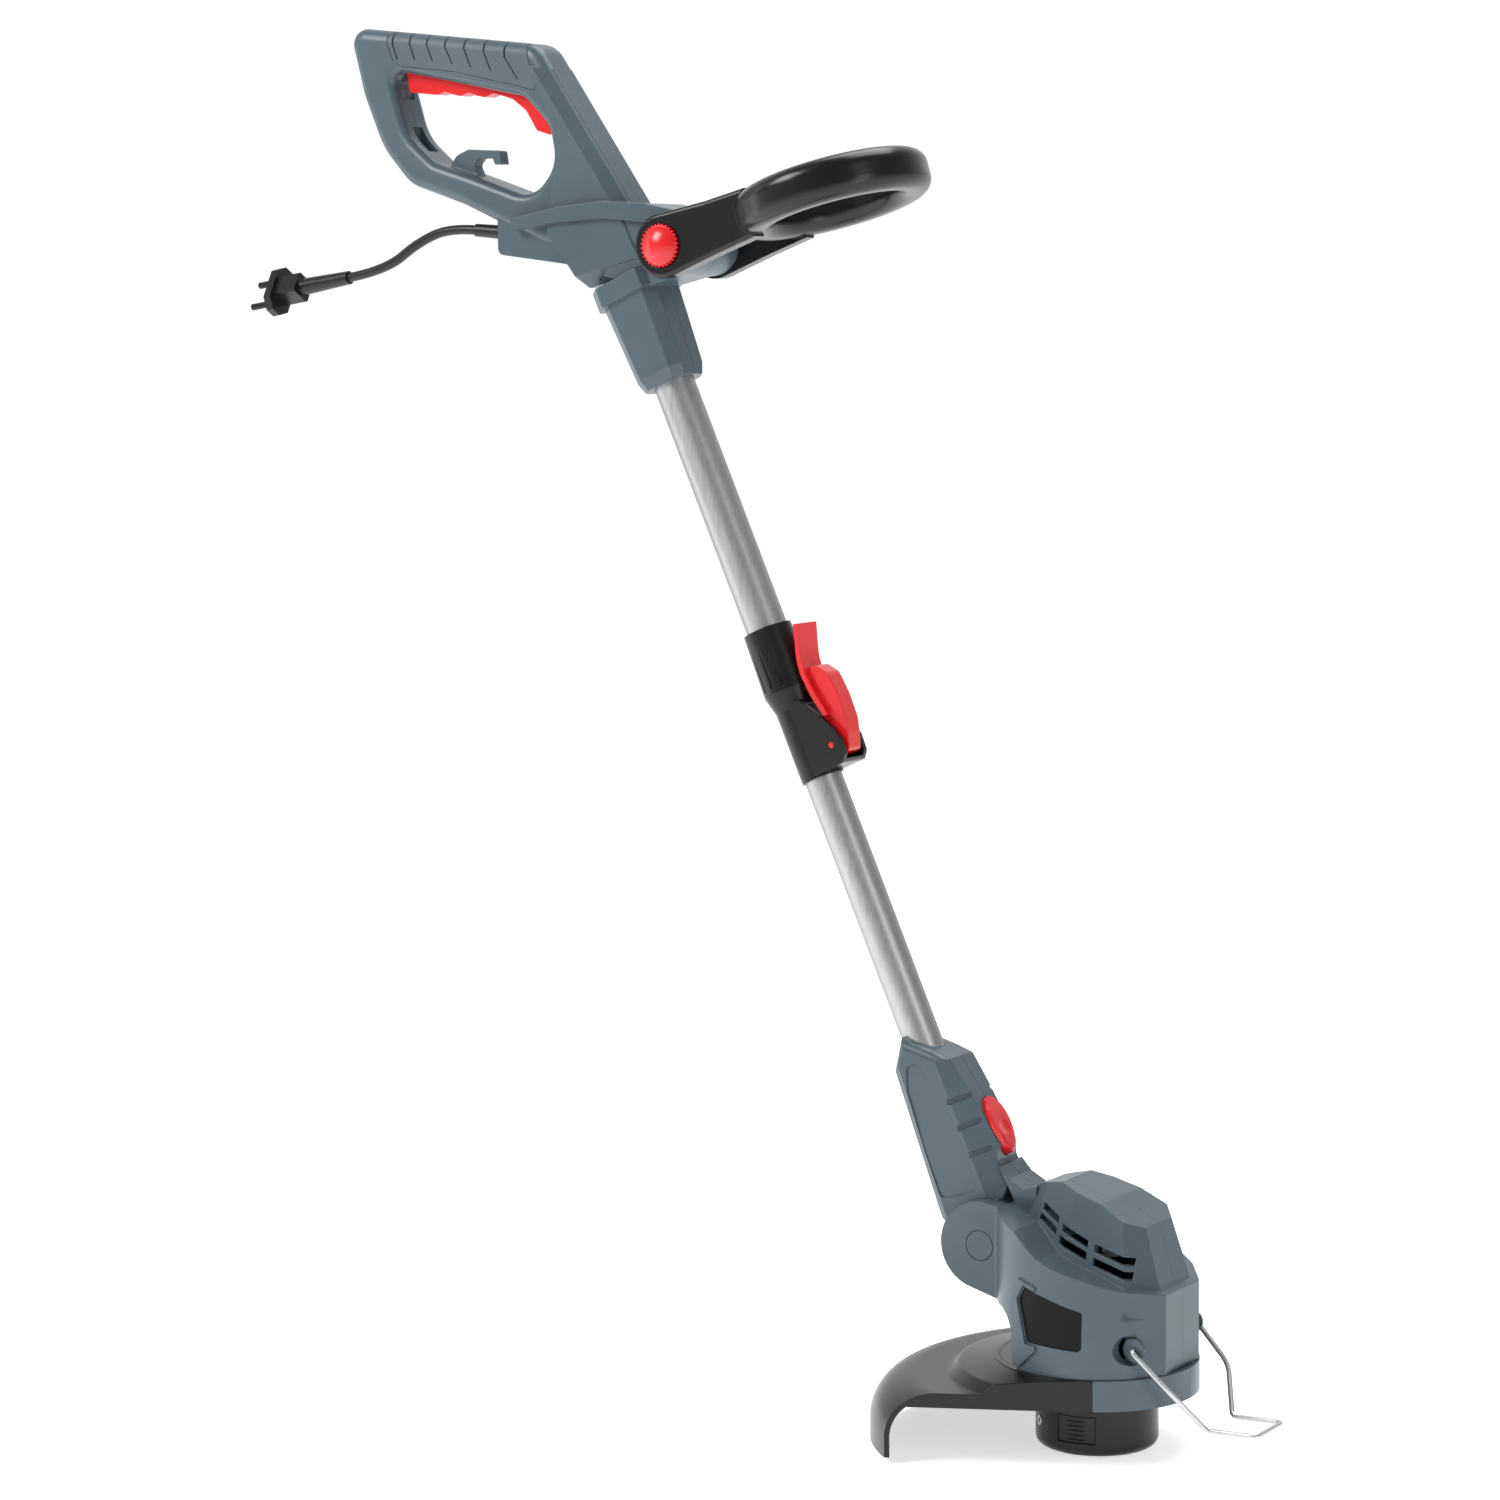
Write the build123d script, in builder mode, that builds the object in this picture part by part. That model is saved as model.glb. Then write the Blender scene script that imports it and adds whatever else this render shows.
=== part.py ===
"""Corded string trimmer: D-handle, loop handle, telescopic shaft and a tilting motor head.

Millimetres. +X forward, +Y to the user's left, +Z up. The origin is the centre of the
spool's bottom face, and the spool turns about Z.
"""

import os
from math import atan2, cos, degrees, pi, radians, sin, sqrt, tan

from build123d import *

os.makedirs("parts", exist_ok=True)

# ---- driving dimensions ---------------------------------------------------------------
SHAFT_LEAN = 23.9            # the shaft leans back from the vertical, degrees
PIVOT = (-70.0, 128.0)       # head tilt axis, X and Z
PIVOT_AHEAD = 4.0            # tilt axis ahead of the shaft's centre line
WALL = 3.0                   # moulded shells
FIT = 0.3                    # air between curved faces of different bodies
RUNNING = 0.08               # radial clearance of a pin in its hole

UPPER_TUBE_R = 14.0
UPPER_TUBE_WALL = 0.9
LOWER_TUBE_R = 12.8
LOWER_TUBE_WALL = 1.0
SLEEVE_END = 613.0           # distances up the shaft from the tilt axis's foot
UPPER_TUBE_TOP = 712.0
UPPER_TUBE_END = 378.0
COLLAR_END = 326.0
COLLAR_TOP = 433.0
LOWER_TUBE_TOP = 470.0
LOWER_TUBE_END = 90.0

GRIP_HALF = 16.5             # half widths across the handle
TRUNK_HALF = 20.0
BOSS_HALF = 26.0
BAND_HALF = 24.0
LOOP_AXIS = (-306.0, 779.0)  # loop handle's hinge, X and Z
BOSS_R = 20.0
LOOP_RISE = 16.3             # the loop handle rises forward, degrees
LOOP_CENTRE = 115.0          # hinge to ring centre
RING_R = 54.0                # centre line of the ring
RING_THICK = 23.0
RING_TALL = 28.5
ARM_HALF = 21.5
ARM_IN = 26.5
ARM_OUT = 39.0
KNOB_R = 14.5
BOLT_R = 3.0

NECK_HALF = 20.0
LOBE_HALF = 31.0
LOBE_R = 29.0
CLEVIS_HALF = 20.5
HEAD_R = 65.0
SKIRT_R = 66.5
SKIRT_BASE = 38.0
SKIRT_TOP = 58.0
SKIRT_SPAN = 65.0            # skirt reaches this far each side of the front, degrees
CAP_BASE = 96.0
CAP_DRAFT = 17.0
GUARD_R = 148.0
GUARD_BASE = 4.0
SPOOL_R = 40.0
SPOOL_TOP = 36.0
SHAFT_R = 4.0
WIRE_R = 1.7
WIRE_PIVOT = (48.0, 77.0)
CORD_R = 3.4

# ---- frames ---------------------------------------------------------------------------
LEAN = radians(SHAFT_LEAN)
UP_SHAFT = Vector(-sin(LEAN), 0, cos(LEAN))
AHEAD = Vector(cos(LEAN), 0, sin(LEAN))
FOOT = Vector(PIVOT[0], 0, PIVOT[1]) - AHEAD * PIVOT_AHEAD
SIDE = Plane(origin=FOOT, x_dir=AHEAD, z_dir=(0, -1, 0))     # x ahead, y up the shaft


def across(up):
    """A plane square to the shaft, with its x ahead."""
    return Plane(origin=FOOT + UP_SHAFT * up, x_dir=AHEAD, z_dir=UP_SHAFT)


def at_y(x, z, y=0.0):
    """A plane square to Y, looking along -Y."""
    return Plane(origin=(x, y, z), x_dir=(1, 0, 0), z_dir=(0, -1, 0))


def finish(builder, name):
    """Label the piece and write its STEP file."""
    builder.part.label = name
    export_step(builder.part, f"parts/{name}.step")


def halves(builder):
    """The right half (-Y) and the left half (+Y) of a moulded block."""
    right = split(builder.part, bisect_by=Plane.XZ, keep=Keep.TOP)
    left = split(builder.part, bisect_by=Plane.XZ, keep=Keep.BOTTOM)
    return right, left


def rounded(points, radii):
    """Round a sketch's corners, each by its own radius. A radius of 0 stays sharp."""
    for (x, y), radius in zip(points, radii):
        if radius:
            fillet(vertices().sort_by_distance((x, y, 0))[0], radius=radius)


# ---- rear handle ----------------------------------------------------------------------
GRIP_REAR = (-586, 937)
GRIP_FRONT = (-423, 918)
FRAME_OUTLINE = (
    GRIP_REAR, GRIP_FRONT, (-343, 803), (-366, 770), (-420, 782), (-488, 811),
    (-534, 826), (-557, 851), (-573, 888),
)
HAND_HOLE = (
    (-549, 906), (-434, 883), (-413, 862), (-408, 836), (-428, 813.5), (-481, 831),
    (-511, 840), (-535, 860),
)
HOLE_CORNERS = (8, 16, 20, 24, 22, 60, 20, 40)

FRAME_CORNERS = (11, 20, 0, 0, 0, 40, 30, 60, 60)

with BuildPart() as grip_block:
    with BuildSketch(Plane.XZ):
        Polygon(*FRAME_OUTLINE, align=None)
        rounded(FRAME_OUTLINE, FRAME_CORNERS)
        Polygon(*HAND_HOLE, align=None, mode=Mode.SUBTRACT)
        rounded(HAND_HOLE, HOLE_CORNERS)
    extrude(amount=GRIP_HALF, both=True)
    rims = grip_block.faces().filter_by(Axis.Y)
    fillet([edge for rim in rims for edge in rim.outer_wire().edges()], radius=8)
    fillet([edge for rim in rims for wire in rim.inner_wires() for edge in wire.edges()], radius=6)

# The grip's soft pad is the outer 2 mm of the grip between two lines across it. Curved
# grooves run down its sides from the top.
PAD_DEPTH = 2.2
PAD_GAP = 0.35
PAD_OUTLINE = (
    (-548, 945), (-549, 925), (-544, 912), (-536, 907.5), (-491, 902), (-437, 890),
    (-424, 886.7), (-420.5, 892.6), (-427.5, 904.7), (-436, 945),
)
GROOVE_DEPTH = 1.1
GROOVE_TOPS = (
    (-544.2, 933.5), (-529.4, 933.3), (-514.7, 932.1), (-499, 930.3), (-482.6, 928),
    (-465.8, 924.8), (-448.3, 920.8),
)
GROOVE_FEET = (
    (-540.2, 912.2), (-524.9, 911.1), (-509.7, 909.8), (-492.7, 906.9), (-476.8, 904.1),
    (-459.5, 900.5), (-437.2, 894.4),
)


def inside_grip(depth):
    """The grip's form moved in from its surface."""
    with BuildPart() as core:
        with BuildSketch(Plane.XZ):
            Polygon(*FRAME_OUTLINE, align=None)
            rounded(FRAME_OUTLINE, FRAME_CORNERS)
            offset(amount=-depth)
        extrude(amount=GRIP_HALF - depth, both=True)
        rims = core.faces().filter_by(Axis.Y)
        fillet([edge for rim in rims for edge in rim.outer_wire().edges()], radius=8 - depth)
    return core.part


def grip_skin(gap):
    """The grip's outer layer inside the pad's outline, grown by a gap."""
    with BuildPart() as skin:
        add(grip_block.part)
        with BuildSketch(Plane.XZ):
            Polygon(*PAD_OUTLINE, align=None)
            if gap:
                offset(amount=gap)
        extrude(amount=GRIP_HALF * 2, both=True, mode=Mode.INTERSECT)
        add(inside_grip(PAD_DEPTH), mode=Mode.SUBTRACT)
    return skin.part


with BuildPart() as pad_grooves:
    with BuildSketch(Plane.XZ):
        for (top, high), (foot, low) in zip(GROOVE_TOPS, GROOVE_FEET):
            Polygon((top - 0.6, 945), (top + 0.6, 945), (top + 0.9, high - 11), (foot + 0.5, low),
                    (foot - 0.5, low + 0.4), (top - 0.4, high - 10.5), align=None)
    extrude(amount=GRIP_HALF * 2, both=True)
    add(inside_grip(GROOVE_DEPTH), mode=Mode.SUBTRACT)

with BuildPart() as grip_pad:
    add(grip_skin(0))
    add(pad_grooves.part, mode=Mode.SUBTRACT)
print("pad", grip_pad.part.is_valid, len(grip_pad.part.solids()), round(grip_pad.part.volume))
finish(grip_pad, "grip_pad")

# The trunk runs from the grip's front down to the sleeve, with the arched band and the
# loop handle's boss across it.
TRUNK_OUTLINE = (
    (-427, 903), (-411, 901), (-343, 803), (-324, 766), (-383, 752), (-412, 790),
    (-404, 838), (-406, 864),
)
BAND_OUTLINE = (
    (-440, 800), (-402, 807), (-366, 810), (-330, 808), (-306, 803), (-306, 792),
    (-334, 796), (-366, 799), (-402, 797), (-440, 792),
)
WEB_OUTLINE = ((-350, 805), (-306, 799), (-300, 760), (-334, 752), (-366, 760))
GLAND_OUTLINE = ((-457, 801), (-457, 776), (-396, 768), (-372, 757), (-375, 800))
HOOK_OUTLINE = (
    (-509, 832), (-499, 845), (-489, 849), (-462, 847.5), (-460.5, 838), (-466, 838),
    (-468, 842.5), (-480, 842.5), (-484, 838), (-478, 826), (-500, 826),
)
HOOK_CORNERS = (0, 6, 4, 2, 1, 1, 2, 3, 3, 0, 0)
GRIP_CAVITY = (
    (-572, 927), (-432, 911), (-412, 890), (-385, 845), (-398, 838), (-404, 866),
    (-428, 888), (-548, 912),
)
TRIGGER_SLOT = (
    (-545, 916), (-545, 886), (-440, 874), (-425, 852), (-404, 852), (-404, 872),
    (-422, 892), (-440, 899),
)
TRIGGER_PIN = (-536, 904)
TRIGGER_PIN_R = 2.0
CORD_EXIT = (-457, 790.9)
RELIEF_RISE = 5.0            # the strain relief points back and a little up, degrees
RELIEF_R = 5.0
CHANNEL = ((-434, 783), (-434, 797), (-372, 797), (-372, 783))
SCREW_PLACES = ((-563, 900), (-556, 858), (-494, 823), (-440, 808), (-341, 779))
SCREW_R = 1.6
HEAD_OF_SCREW_R = 3.4


def octagon(half_ahead, half_across, cut):
    """An octagon's corners: a rectangle with its corners cut off."""
    a, b = half_ahead, half_across
    return ((a, b - cut), (a - cut, b), (cut - a, b), (-a, b - cut),
            (-a, cut - b), (cut - a, -b), (a - cut, -b), (a, cut - b))


with BuildPart() as trunk:
    with BuildSketch(Plane.XZ):
        Polygon(*TRUNK_OUTLINE, align=None)
    extrude(amount=TRUNK_HALF, both=True)
    long_edges = trunk.edges().filter_by(lambda edge: edge.length > 30).filter_by(Axis.Y, reverse=True)
    chamfer(long_edges.filter_by(lambda edge: edge.center().X > -380), length=9)

with BuildPart() as band:
    with BuildSketch(Plane.XZ):
        Polygon(*BAND_OUTLINE, align=None)
    extrude(amount=BAND_HALF, both=True)
    with BuildSketch(Plane.XZ):
        Polygon(*WEB_OUTLINE, align=None)
    extrude(amount=BAND_HALF - 5, both=True)
    with BuildSketch(at_y(*LOOP_AXIS)):
        Circle(BOSS_R)
    extrude(amount=BOSS_HALF, both=True)

with BuildPart() as gland_box:
    with BuildSketch(Plane.XZ):
        Polygon(*GLAND_OUTLINE, align=None)
        rounded(GLAND_OUTLINE[1:2], (5,))
    extrude(amount=15, both=True)

with BuildPart() as sleeve:
    with BuildSketch(across(SLEEVE_END)):
        Polygon(*octagon(17, 17, 6), align=None)
    with BuildSketch(across(SLEEVE_END + 8)):
        Polygon(*octagon(19.5, 19.5, 7), align=None)
    loft()
    with BuildSketch(across(SLEEVE_END + 8)):
        Polygon(*octagon(19.5, 19.5, 7), align=None)
    with BuildSketch(across(SLEEVE_END + 66)):
        Polygon(*octagon(23, 21.5, 8), align=None)
    loft()
    with BuildSketch(across(SLEEVE_END + 64)):
        Polygon(*octagon(26.5, 24, 9), align=None)
    extrude(amount=14)

with BuildPart() as handle_block:
    add(grip_block.part)
    add(trunk.part)
    add(band.part)
    add(gland_box.part)
    add(sleeve.part)
    with BuildSketch(Plane.XZ):
        Polygon(*HOOK_OUTLINE, align=None)
        rounded(HOOK_OUTLINE, HOOK_CORNERS)
    extrude(amount=4.5, both=True)
    # the shaft's bore, and the wiring space above it
    with BuildSketch(across(SLEEVE_END - 1)):
        Circle(UPPER_TUBE_R)
    extrude(amount=UPPER_TUBE_TOP - SLEEVE_END + 1, mode=Mode.SUBTRACT)
    with BuildSketch(across(UPPER_TUBE_TOP - 1)):
        Circle(11)
    extrude(amount=90, mode=Mode.SUBTRACT)
    with BuildSketch(Plane.XZ):
        Polygon(*GRIP_CAVITY, align=None)
    extrude(amount=11, both=True, mode=Mode.SUBTRACT)
    with BuildSketch(Plane.XZ):
        Polygon(*TRIGGER_SLOT, align=None)
    extrude(amount=6.5, both=True, mode=Mode.SUBTRACT)
    with BuildSketch(at_y(*TRIGGER_PIN)):
        Circle(TRIGGER_PIN_R + RUNNING)
    extrude(amount=9.3, both=True, mode=Mode.SUBTRACT)
    with BuildSketch(at_y(*LOOP_AXIS)):
        Circle(BOLT_R + FIT)
    extrude(amount=BOSS_HALF + 1, both=True, mode=Mode.SUBTRACT)
    with BuildSketch(Plane.XZ):
        Polygon(*CHANNEL, align=None)
    extrude(amount=8, both=True, mode=Mode.SUBTRACT)
    # the extension lead's loop goes up through a slot in the lower rear corner
    with BuildSketch(Plane.XY.offset(800)):
        with Locations((-530, 0)):
            Rectangle(17, 12)
    extrude(amount=66, mode=Mode.SUBTRACT)
    add(grip_skin(PAD_GAP), mode=Mode.SUBTRACT)

RELIEF_BACK = Vector(-cos(radians(RELIEF_RISE)), 0, sin(radians(RELIEF_RISE)))
GLAND = Plane(origin=(CORD_EXIT[0], 0, CORD_EXIT[1]), x_dir=(0, 1, 0), z_dir=RELIEF_BACK)
RELIEF_INSIDE = 24.0
RELIEF_OUTSIDE = 29.0

with BuildPart() as strain_relief:
    with BuildSketch(GLAND.offset(-RELIEF_INSIDE)):
        Circle(RELIEF_R)
    extrude(amount=RELIEF_INSIDE)
    with BuildSketch(GLAND):
        Circle(RELIEF_R)
    with BuildSketch(GLAND.offset(RELIEF_OUTSIDE)):
        Circle(RELIEF_R - 0.5)
    loft()
finish(strain_relief, "strain_relief")

with BuildPart() as screw_holes:
    for x, z in SCREW_PLACES:
        with BuildSketch(at_y(x, z, -8)):
            Circle(SCREW_R)
        extrude(amount=-20)
        with BuildSketch(at_y(x, z, 12)):
            Circle(HEAD_OF_SCREW_R)
        extrude(amount=-30)

with BuildPart() as handle_screws:
    for x, z in SCREW_PLACES:
        with BuildSketch(at_y(x, z, -8)):
            Circle(SCREW_R)
        extrude(amount=-20)
        with BuildSketch(at_y(x, z, 12)):
            Circle(HEAD_OF_SCREW_R)
            RegularPolygon(1.4, 6, mode=Mode.SUBTRACT)
        extrude(amount=-2.6)
finish(handle_screws, "handle_screws")

with BuildPart() as handle_moulding:
    add(handle_block.part)
    add(screw_holes.part, mode=Mode.SUBTRACT)
    add(strain_relief.part, mode=Mode.SUBTRACT)

handle_right, handle_left = halves(handle_moulding)
for side, shell in (("right", handle_right), ("left", handle_left)):
    shell.label = f"handle_{side}"
    export_step(shell, f"parts/handle_{side}.step")
    print("handle", side, shell.is_valid, len(shell.solids()), round(shell.volume))

# ---- trigger and the wiring in the handle ---------------------------------------------
TRIGGER_OUTLINE = (
    (-541, 909), (-440, 889), (-428, 883), (-416, 869), (-411, 857), (-419, 857),
    (-429, 860), (-438, 874), (-449, 882), (-459, 885), (-466, 886.6), (-473, 884.2),
    (-480, 885.6), (-487, 888), (-494, 885.8), (-501, 887.4), (-507, 889.4), (-514, 887.4),
    (-538, 890),
)
TRIGGER_ROUND = (2, 0, 10, 0, 2, 2, 0, 8, 8, 4, 3, 3, 3, 3, 3, 3, 3, 3, 2)
TRIGGER_HALF = 5.8

with BuildPart() as trigger:
    with BuildSketch(Plane.XZ):
        Polygon(*TRIGGER_OUTLINE, align=None)
        rounded(TRIGGER_OUTLINE, TRIGGER_ROUND)
    extrude(amount=TRIGGER_HALF, both=True)
    with BuildSketch(at_y(*TRIGGER_PIN)):
        Circle(TRIGGER_PIN_R)
    extrude(amount=9, both=True)
finish(trigger, "trigger")

with BuildPart() as trigger_switch:
    with BuildSketch(Plane.XZ):
        Polygon((-485, 905), (-456, 901.5), (-456, 911), (-485, 915), align=None)
    extrude(amount=7, both=True)
    fillet(trigger_switch.edges().filter_by(Axis.Y), radius=1)
finish(trigger_switch, "trigger_switch")

with BuildPart() as suppression_capacitor:
    with BuildSketch(Plane.XZ):
        Polygon((-547, 914.5), (-521, 911), (-521, 917.5), (-547, 921), align=None)
    extrude(amount=8, both=True)
    fillet(suppression_capacitor.edges(), radius=0.8)
finish(suppression_capacitor, "suppression_capacitor")

LEAD_WIRE_R = 1.1
LEAD_ROUTE = (
    (-425, 790), (-374, 791), (-378, 813), (-394, 851), (-408, 877), (-425, 897), (-455.3, 906),
)
with BuildPart() as supply_wires:
    for y in (-3, 3):
        with BuildLine() as route:
            FilletPolyline(*[(x, y, z) for x, z in LEAD_ROUTE], radius=5)
        with BuildSketch(Plane(origin=route.line @ 0, z_dir=route.line % 0)):
            Circle(LEAD_WIRE_R)
        sweep(path=route.line)
finish(supply_wires, "supply_wires")

with BuildPart() as cable_clamp:
    with BuildSketch(Plane.XZ):
        Polygon((-431.5, 784), (-426, 784), (-426, 796), (-431.5, 796), align=None)
    extrude(amount=7, both=True)
    add(strain_relief.part, mode=Mode.SUBTRACT)
finish(cable_clamp, "cable_clamp")

# ---- mains lead and plug --------------------------------------------------------------
CORD_FIRST_RUN = 23.2
CORD_ROUTE = ((-537, 786), (-566, 767), (-599, 762.2))
PLUG_SLEEVE_R = 5.6
PLUG_SLEEVE = 43.0
PLUG_BODY = 19.0
PLUG_FLANGE = 6.0
PLUG_SQUARE = 16.5
PLUG_ROLL = 35.0             # the plug lies rolled about its own axis, degrees
PLUG_PIN_R = 2.4
PLUG_PIN = 19.0
PLUG_PITCH = 19.0

cord_start = GLAND.origin + RELIEF_BACK * RELIEF_OUTSIDE
cord_points = [cord_start, cord_start + RELIEF_BACK * CORD_FIRST_RUN]
cord_points += [Vector(x, 0, z) for x, z in CORD_ROUTE]
print("cord route", [(round(point.X, 2), round(point.Z, 2)) for point in cord_points])
cord_radii = []
for before, corner, after in zip(cord_points, cord_points[1:], cord_points[2:]):
    turn = radians((corner - before).get_angle(after - corner))
    shorter = min((corner - before).length, (after - corner).length)
    cord_radii.append(0.45 * shorter / tan(turn / 2))
print("cord radii", [round(radius) for radius in cord_radii])

with BuildPart() as mains_cord:
    with BuildLine() as cord_path:
        FilletPolyline(*cord_points, radius=cord_radii)
    with BuildSketch(Plane(origin=cord_path.line @ 0, z_dir=cord_path.line % 0)):
        Circle(CORD_R)
    sweep(path=cord_path.line)
finish(mains_cord, "mains_cord")
cord_length = cord_path.wires()[0].length
print("cord", round(mains_cord.part.volume), round(pi * CORD_R ** 2 * cord_length),
      "length", round(cord_length, 1))

plug_back = cord_path.line % 1
roll = radians(PLUG_ROLL)
plug_up = Vector(0, -1, 0).cross(plug_back) * -1
pin_spread = plug_up * cos(roll) + Vector(0, 1, 0) * sin(roll)
PLUG = Plane(origin=cord_points[-1], x_dir=pin_spread, z_dir=plug_back)

with BuildPart() as plug_body:
    with BuildSketch(PLUG):
        Circle(PLUG_SLEEVE_R - 0.8)
    with BuildSketch(PLUG.offset(PLUG_SLEEVE)):
        Circle(PLUG_SLEEVE_R + 0.6)
    loft()
    with BuildSketch(PLUG.offset(PLUG_SLEEVE)):
        Rectangle(PLUG_SQUARE, PLUG_SQUARE)
        chamfer(vertices(), length=1.5)
    extrude(amount=PLUG_BODY)
    with BuildSketch(PLUG.offset(PLUG_SLEEVE + PLUG_BODY)):
        Polygon(*octagon(18.5, 11, 7), align=None)
    extrude(amount=PLUG_FLANGE)
finish(plug_body, "plug_body")

with BuildPart() as plug_pins:
    with BuildSketch(PLUG.offset(PLUG_SLEEVE + PLUG_BODY + PLUG_FLANGE)):
        with GridLocations(PLUG_PITCH, 1, 2, 1):
            Circle(PLUG_PIN_R)
    extrude(amount=PLUG_PIN)
    chamfer(plug_pins.faces().sort_by(SortBy.DISTANCE)[-2:].edges(), length=0.5)
finish(plug_pins, "plug_pins")
pin_mid = PLUG.offset(PLUG_SLEEVE + PLUG_BODY + PLUG_FLANGE + PLUG_PIN / 2)
for sign in (-1, 1):
    centre = pin_mid.origin + pin_spread * sign * PLUG_PITCH / 2
    print("plug pin", [round(value / 1000, 5) for value in centre], [round(v, 5) for v in plug_back])

# ---- loop handle, its bolt and knob ---------------------------------------------------
rise = radians(LOOP_RISE)
LOOP_OUT = Vector(cos(rise), 0, sin(rise))
LOOP_SIDE = Plane(origin=(LOOP_AXIS[0], 0, LOOP_AXIS[1]), x_dir=LOOP_OUT, z_dir=(0, -1, 0))
RING = Plane(origin=LOOP_SIDE.origin + LOOP_OUT * LOOP_CENTRE, x_dir=LOOP_OUT,
             z_dir=LOOP_OUT.cross(Vector(0, 1, 0)))

with BuildPart() as loop_handle:
    with BuildSketch(LOOP_SIDE):
        Circle(ARM_HALF)
        Polygon((2, ARM_HALF - 0.1), (40, 18), (72, 17), (72, -16), (40, -18), (2, 0.1 - ARM_HALF),
                align=None)
    extrude(amount=ARM_OUT, both=True)
    fillet(loop_handle.faces().filter_by(Axis.Y).edges(), radius=3)
    with BuildSketch(LOOP_SIDE):
        Rectangle(200, 80)
    extrude(amount=ARM_IN, both=True, mode=Mode.SUBTRACT)
    with BuildSketch(Plane(origin=RING.origin, x_dir=LOOP_OUT, z_dir=(0, -1, 0))):
        with Locations((RING_R, 0)):
            RectangleRounded(RING_THICK, RING_TALL, RING_THICK / 2 - 1.5)
    revolve(axis=Axis(RING.origin, RING.z_dir))
    print("loop", loop_handle.part.is_valid, round(loop_handle.part.volume))
    with BuildSketch(at_y(*LOOP_AXIS)):
        Circle(BOLT_R + FIT)
    extrude(amount=ARM_OUT + 1, both=True, mode=Mode.SUBTRACT)
    with BuildSketch(at_y(*LOOP_AXIS, ARM_OUT - 5)):
        RegularPolygon(5.8, 6)
    extrude(amount=-7, mode=Mode.SUBTRACT)
    with BuildSketch(at_y(*LOOP_AXIS, 2 - ARM_OUT)):
        Circle(KNOB_R + 0.6)
    extrude(amount=3, mode=Mode.SUBTRACT)
finish(loop_handle, "loop_handle")

with BuildPart() as clamp_nut:
    with BuildSketch(at_y(*LOOP_AXIS, ARM_OUT - 5)):
        RegularPolygon(5.77, 6)
        Circle(BOLT_R + RUNNING, mode=Mode.SUBTRACT)
    extrude(amount=-4.8)
finish(clamp_nut, "clamp_nut")

NOTCHES = 30
KNOB_PROUD = 2.0             # the notched rim stands this far off the arm
DOME_TALL = 5.2
DOME_BASE_R = KNOB_R - 1.5
DOME_R = (DOME_BASE_R ** 2 + DOME_TALL ** 2) / (2 * DOME_TALL)

with BuildPart() as knob_dome:
    with Locations((LOOP_AXIS[0], DOME_R - DOME_TALL - KNOB_PROUD - ARM_OUT, LOOP_AXIS[1])):
        Sphere(DOME_R)
    with BuildSketch(at_y(*LOOP_AXIS, -KNOB_PROUD - ARM_OUT)):
        Circle(DOME_BASE_R)
    extrude(amount=DOME_TALL + 1, mode=Mode.INTERSECT)

with BuildPart() as lock_knob:
    with BuildSketch(at_y(*LOOP_AXIS, 1.7 - ARM_OUT)):
        Circle(KNOB_R)
        with PolarLocations(KNOB_R, NOTCHES):
            Rectangle(2.2, 1.5, mode=Mode.SUBTRACT)
    extrude(amount=1.7 + KNOB_PROUD)
    add(knob_dome.part)
    with BuildSketch(at_y(*LOOP_AXIS, 1.7 - ARM_OUT)):
        Circle(BOLT_R)
    extrude(amount=3.4, mode=Mode.SUBTRACT)
print("knob", lock_knob.part.is_valid, len(lock_knob.part.solids()), round(lock_knob.part.volume))
finish(lock_knob, "lock_knob")

with BuildPart() as clamp_bolt:
    with BuildSketch(at_y(*LOOP_AXIS, -1.7 - ARM_OUT)):
        Circle(BOLT_R)
    extrude(amount=-(2 * ARM_OUT + 1.2))
finish(clamp_bolt, "clamp_bolt")

# ---- telescopic shaft -----------------------------------------------------------------
def tube(low, high, outer, inner):
    """A pipe along the shaft between two heights."""
    with BuildPart() as pipe:
        with BuildSketch(across(low)):
            Circle(outer)
            Circle(inner, mode=Mode.SUBTRACT)
        extrude(amount=high - low)
    return pipe


upper_bore = UPPER_TUBE_R - UPPER_TUBE_WALL
lower_bore = LOWER_TUBE_R - LOWER_TUBE_WALL
finish(tube(UPPER_TUBE_END, UPPER_TUBE_TOP, UPPER_TUBE_R, upper_bore), "upper_tube")
finish(tube(LOWER_TUBE_END, LOWER_TUBE_TOP, LOWER_TUBE_R, lower_bore), "lower_tube")
finish(tube(480, 705, 9, 5), "coiled_lead")

with BuildPart() as head_lead:
    with BuildSketch(across(64)):
        Circle(3.2)
    extrude(amount=426)
finish(head_lead, "head_lead")

COLLAR_R = 17.5
COLLAR_NECK_R = 14.7
CHEEK_HALF = 14.5
LEVER_GAP_HALF = 10.8
LEVER_PIN = (23, 342)        # ahead of the shaft's axis, and up it
LEVER_PIN_R = 2.2
CHEEK_OUTLINE = ((0, 328), (27, 328), (31, 333), (31.5, 345), (27, 356), (12, 379), (0, 379))
FLUTES = 9

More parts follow.
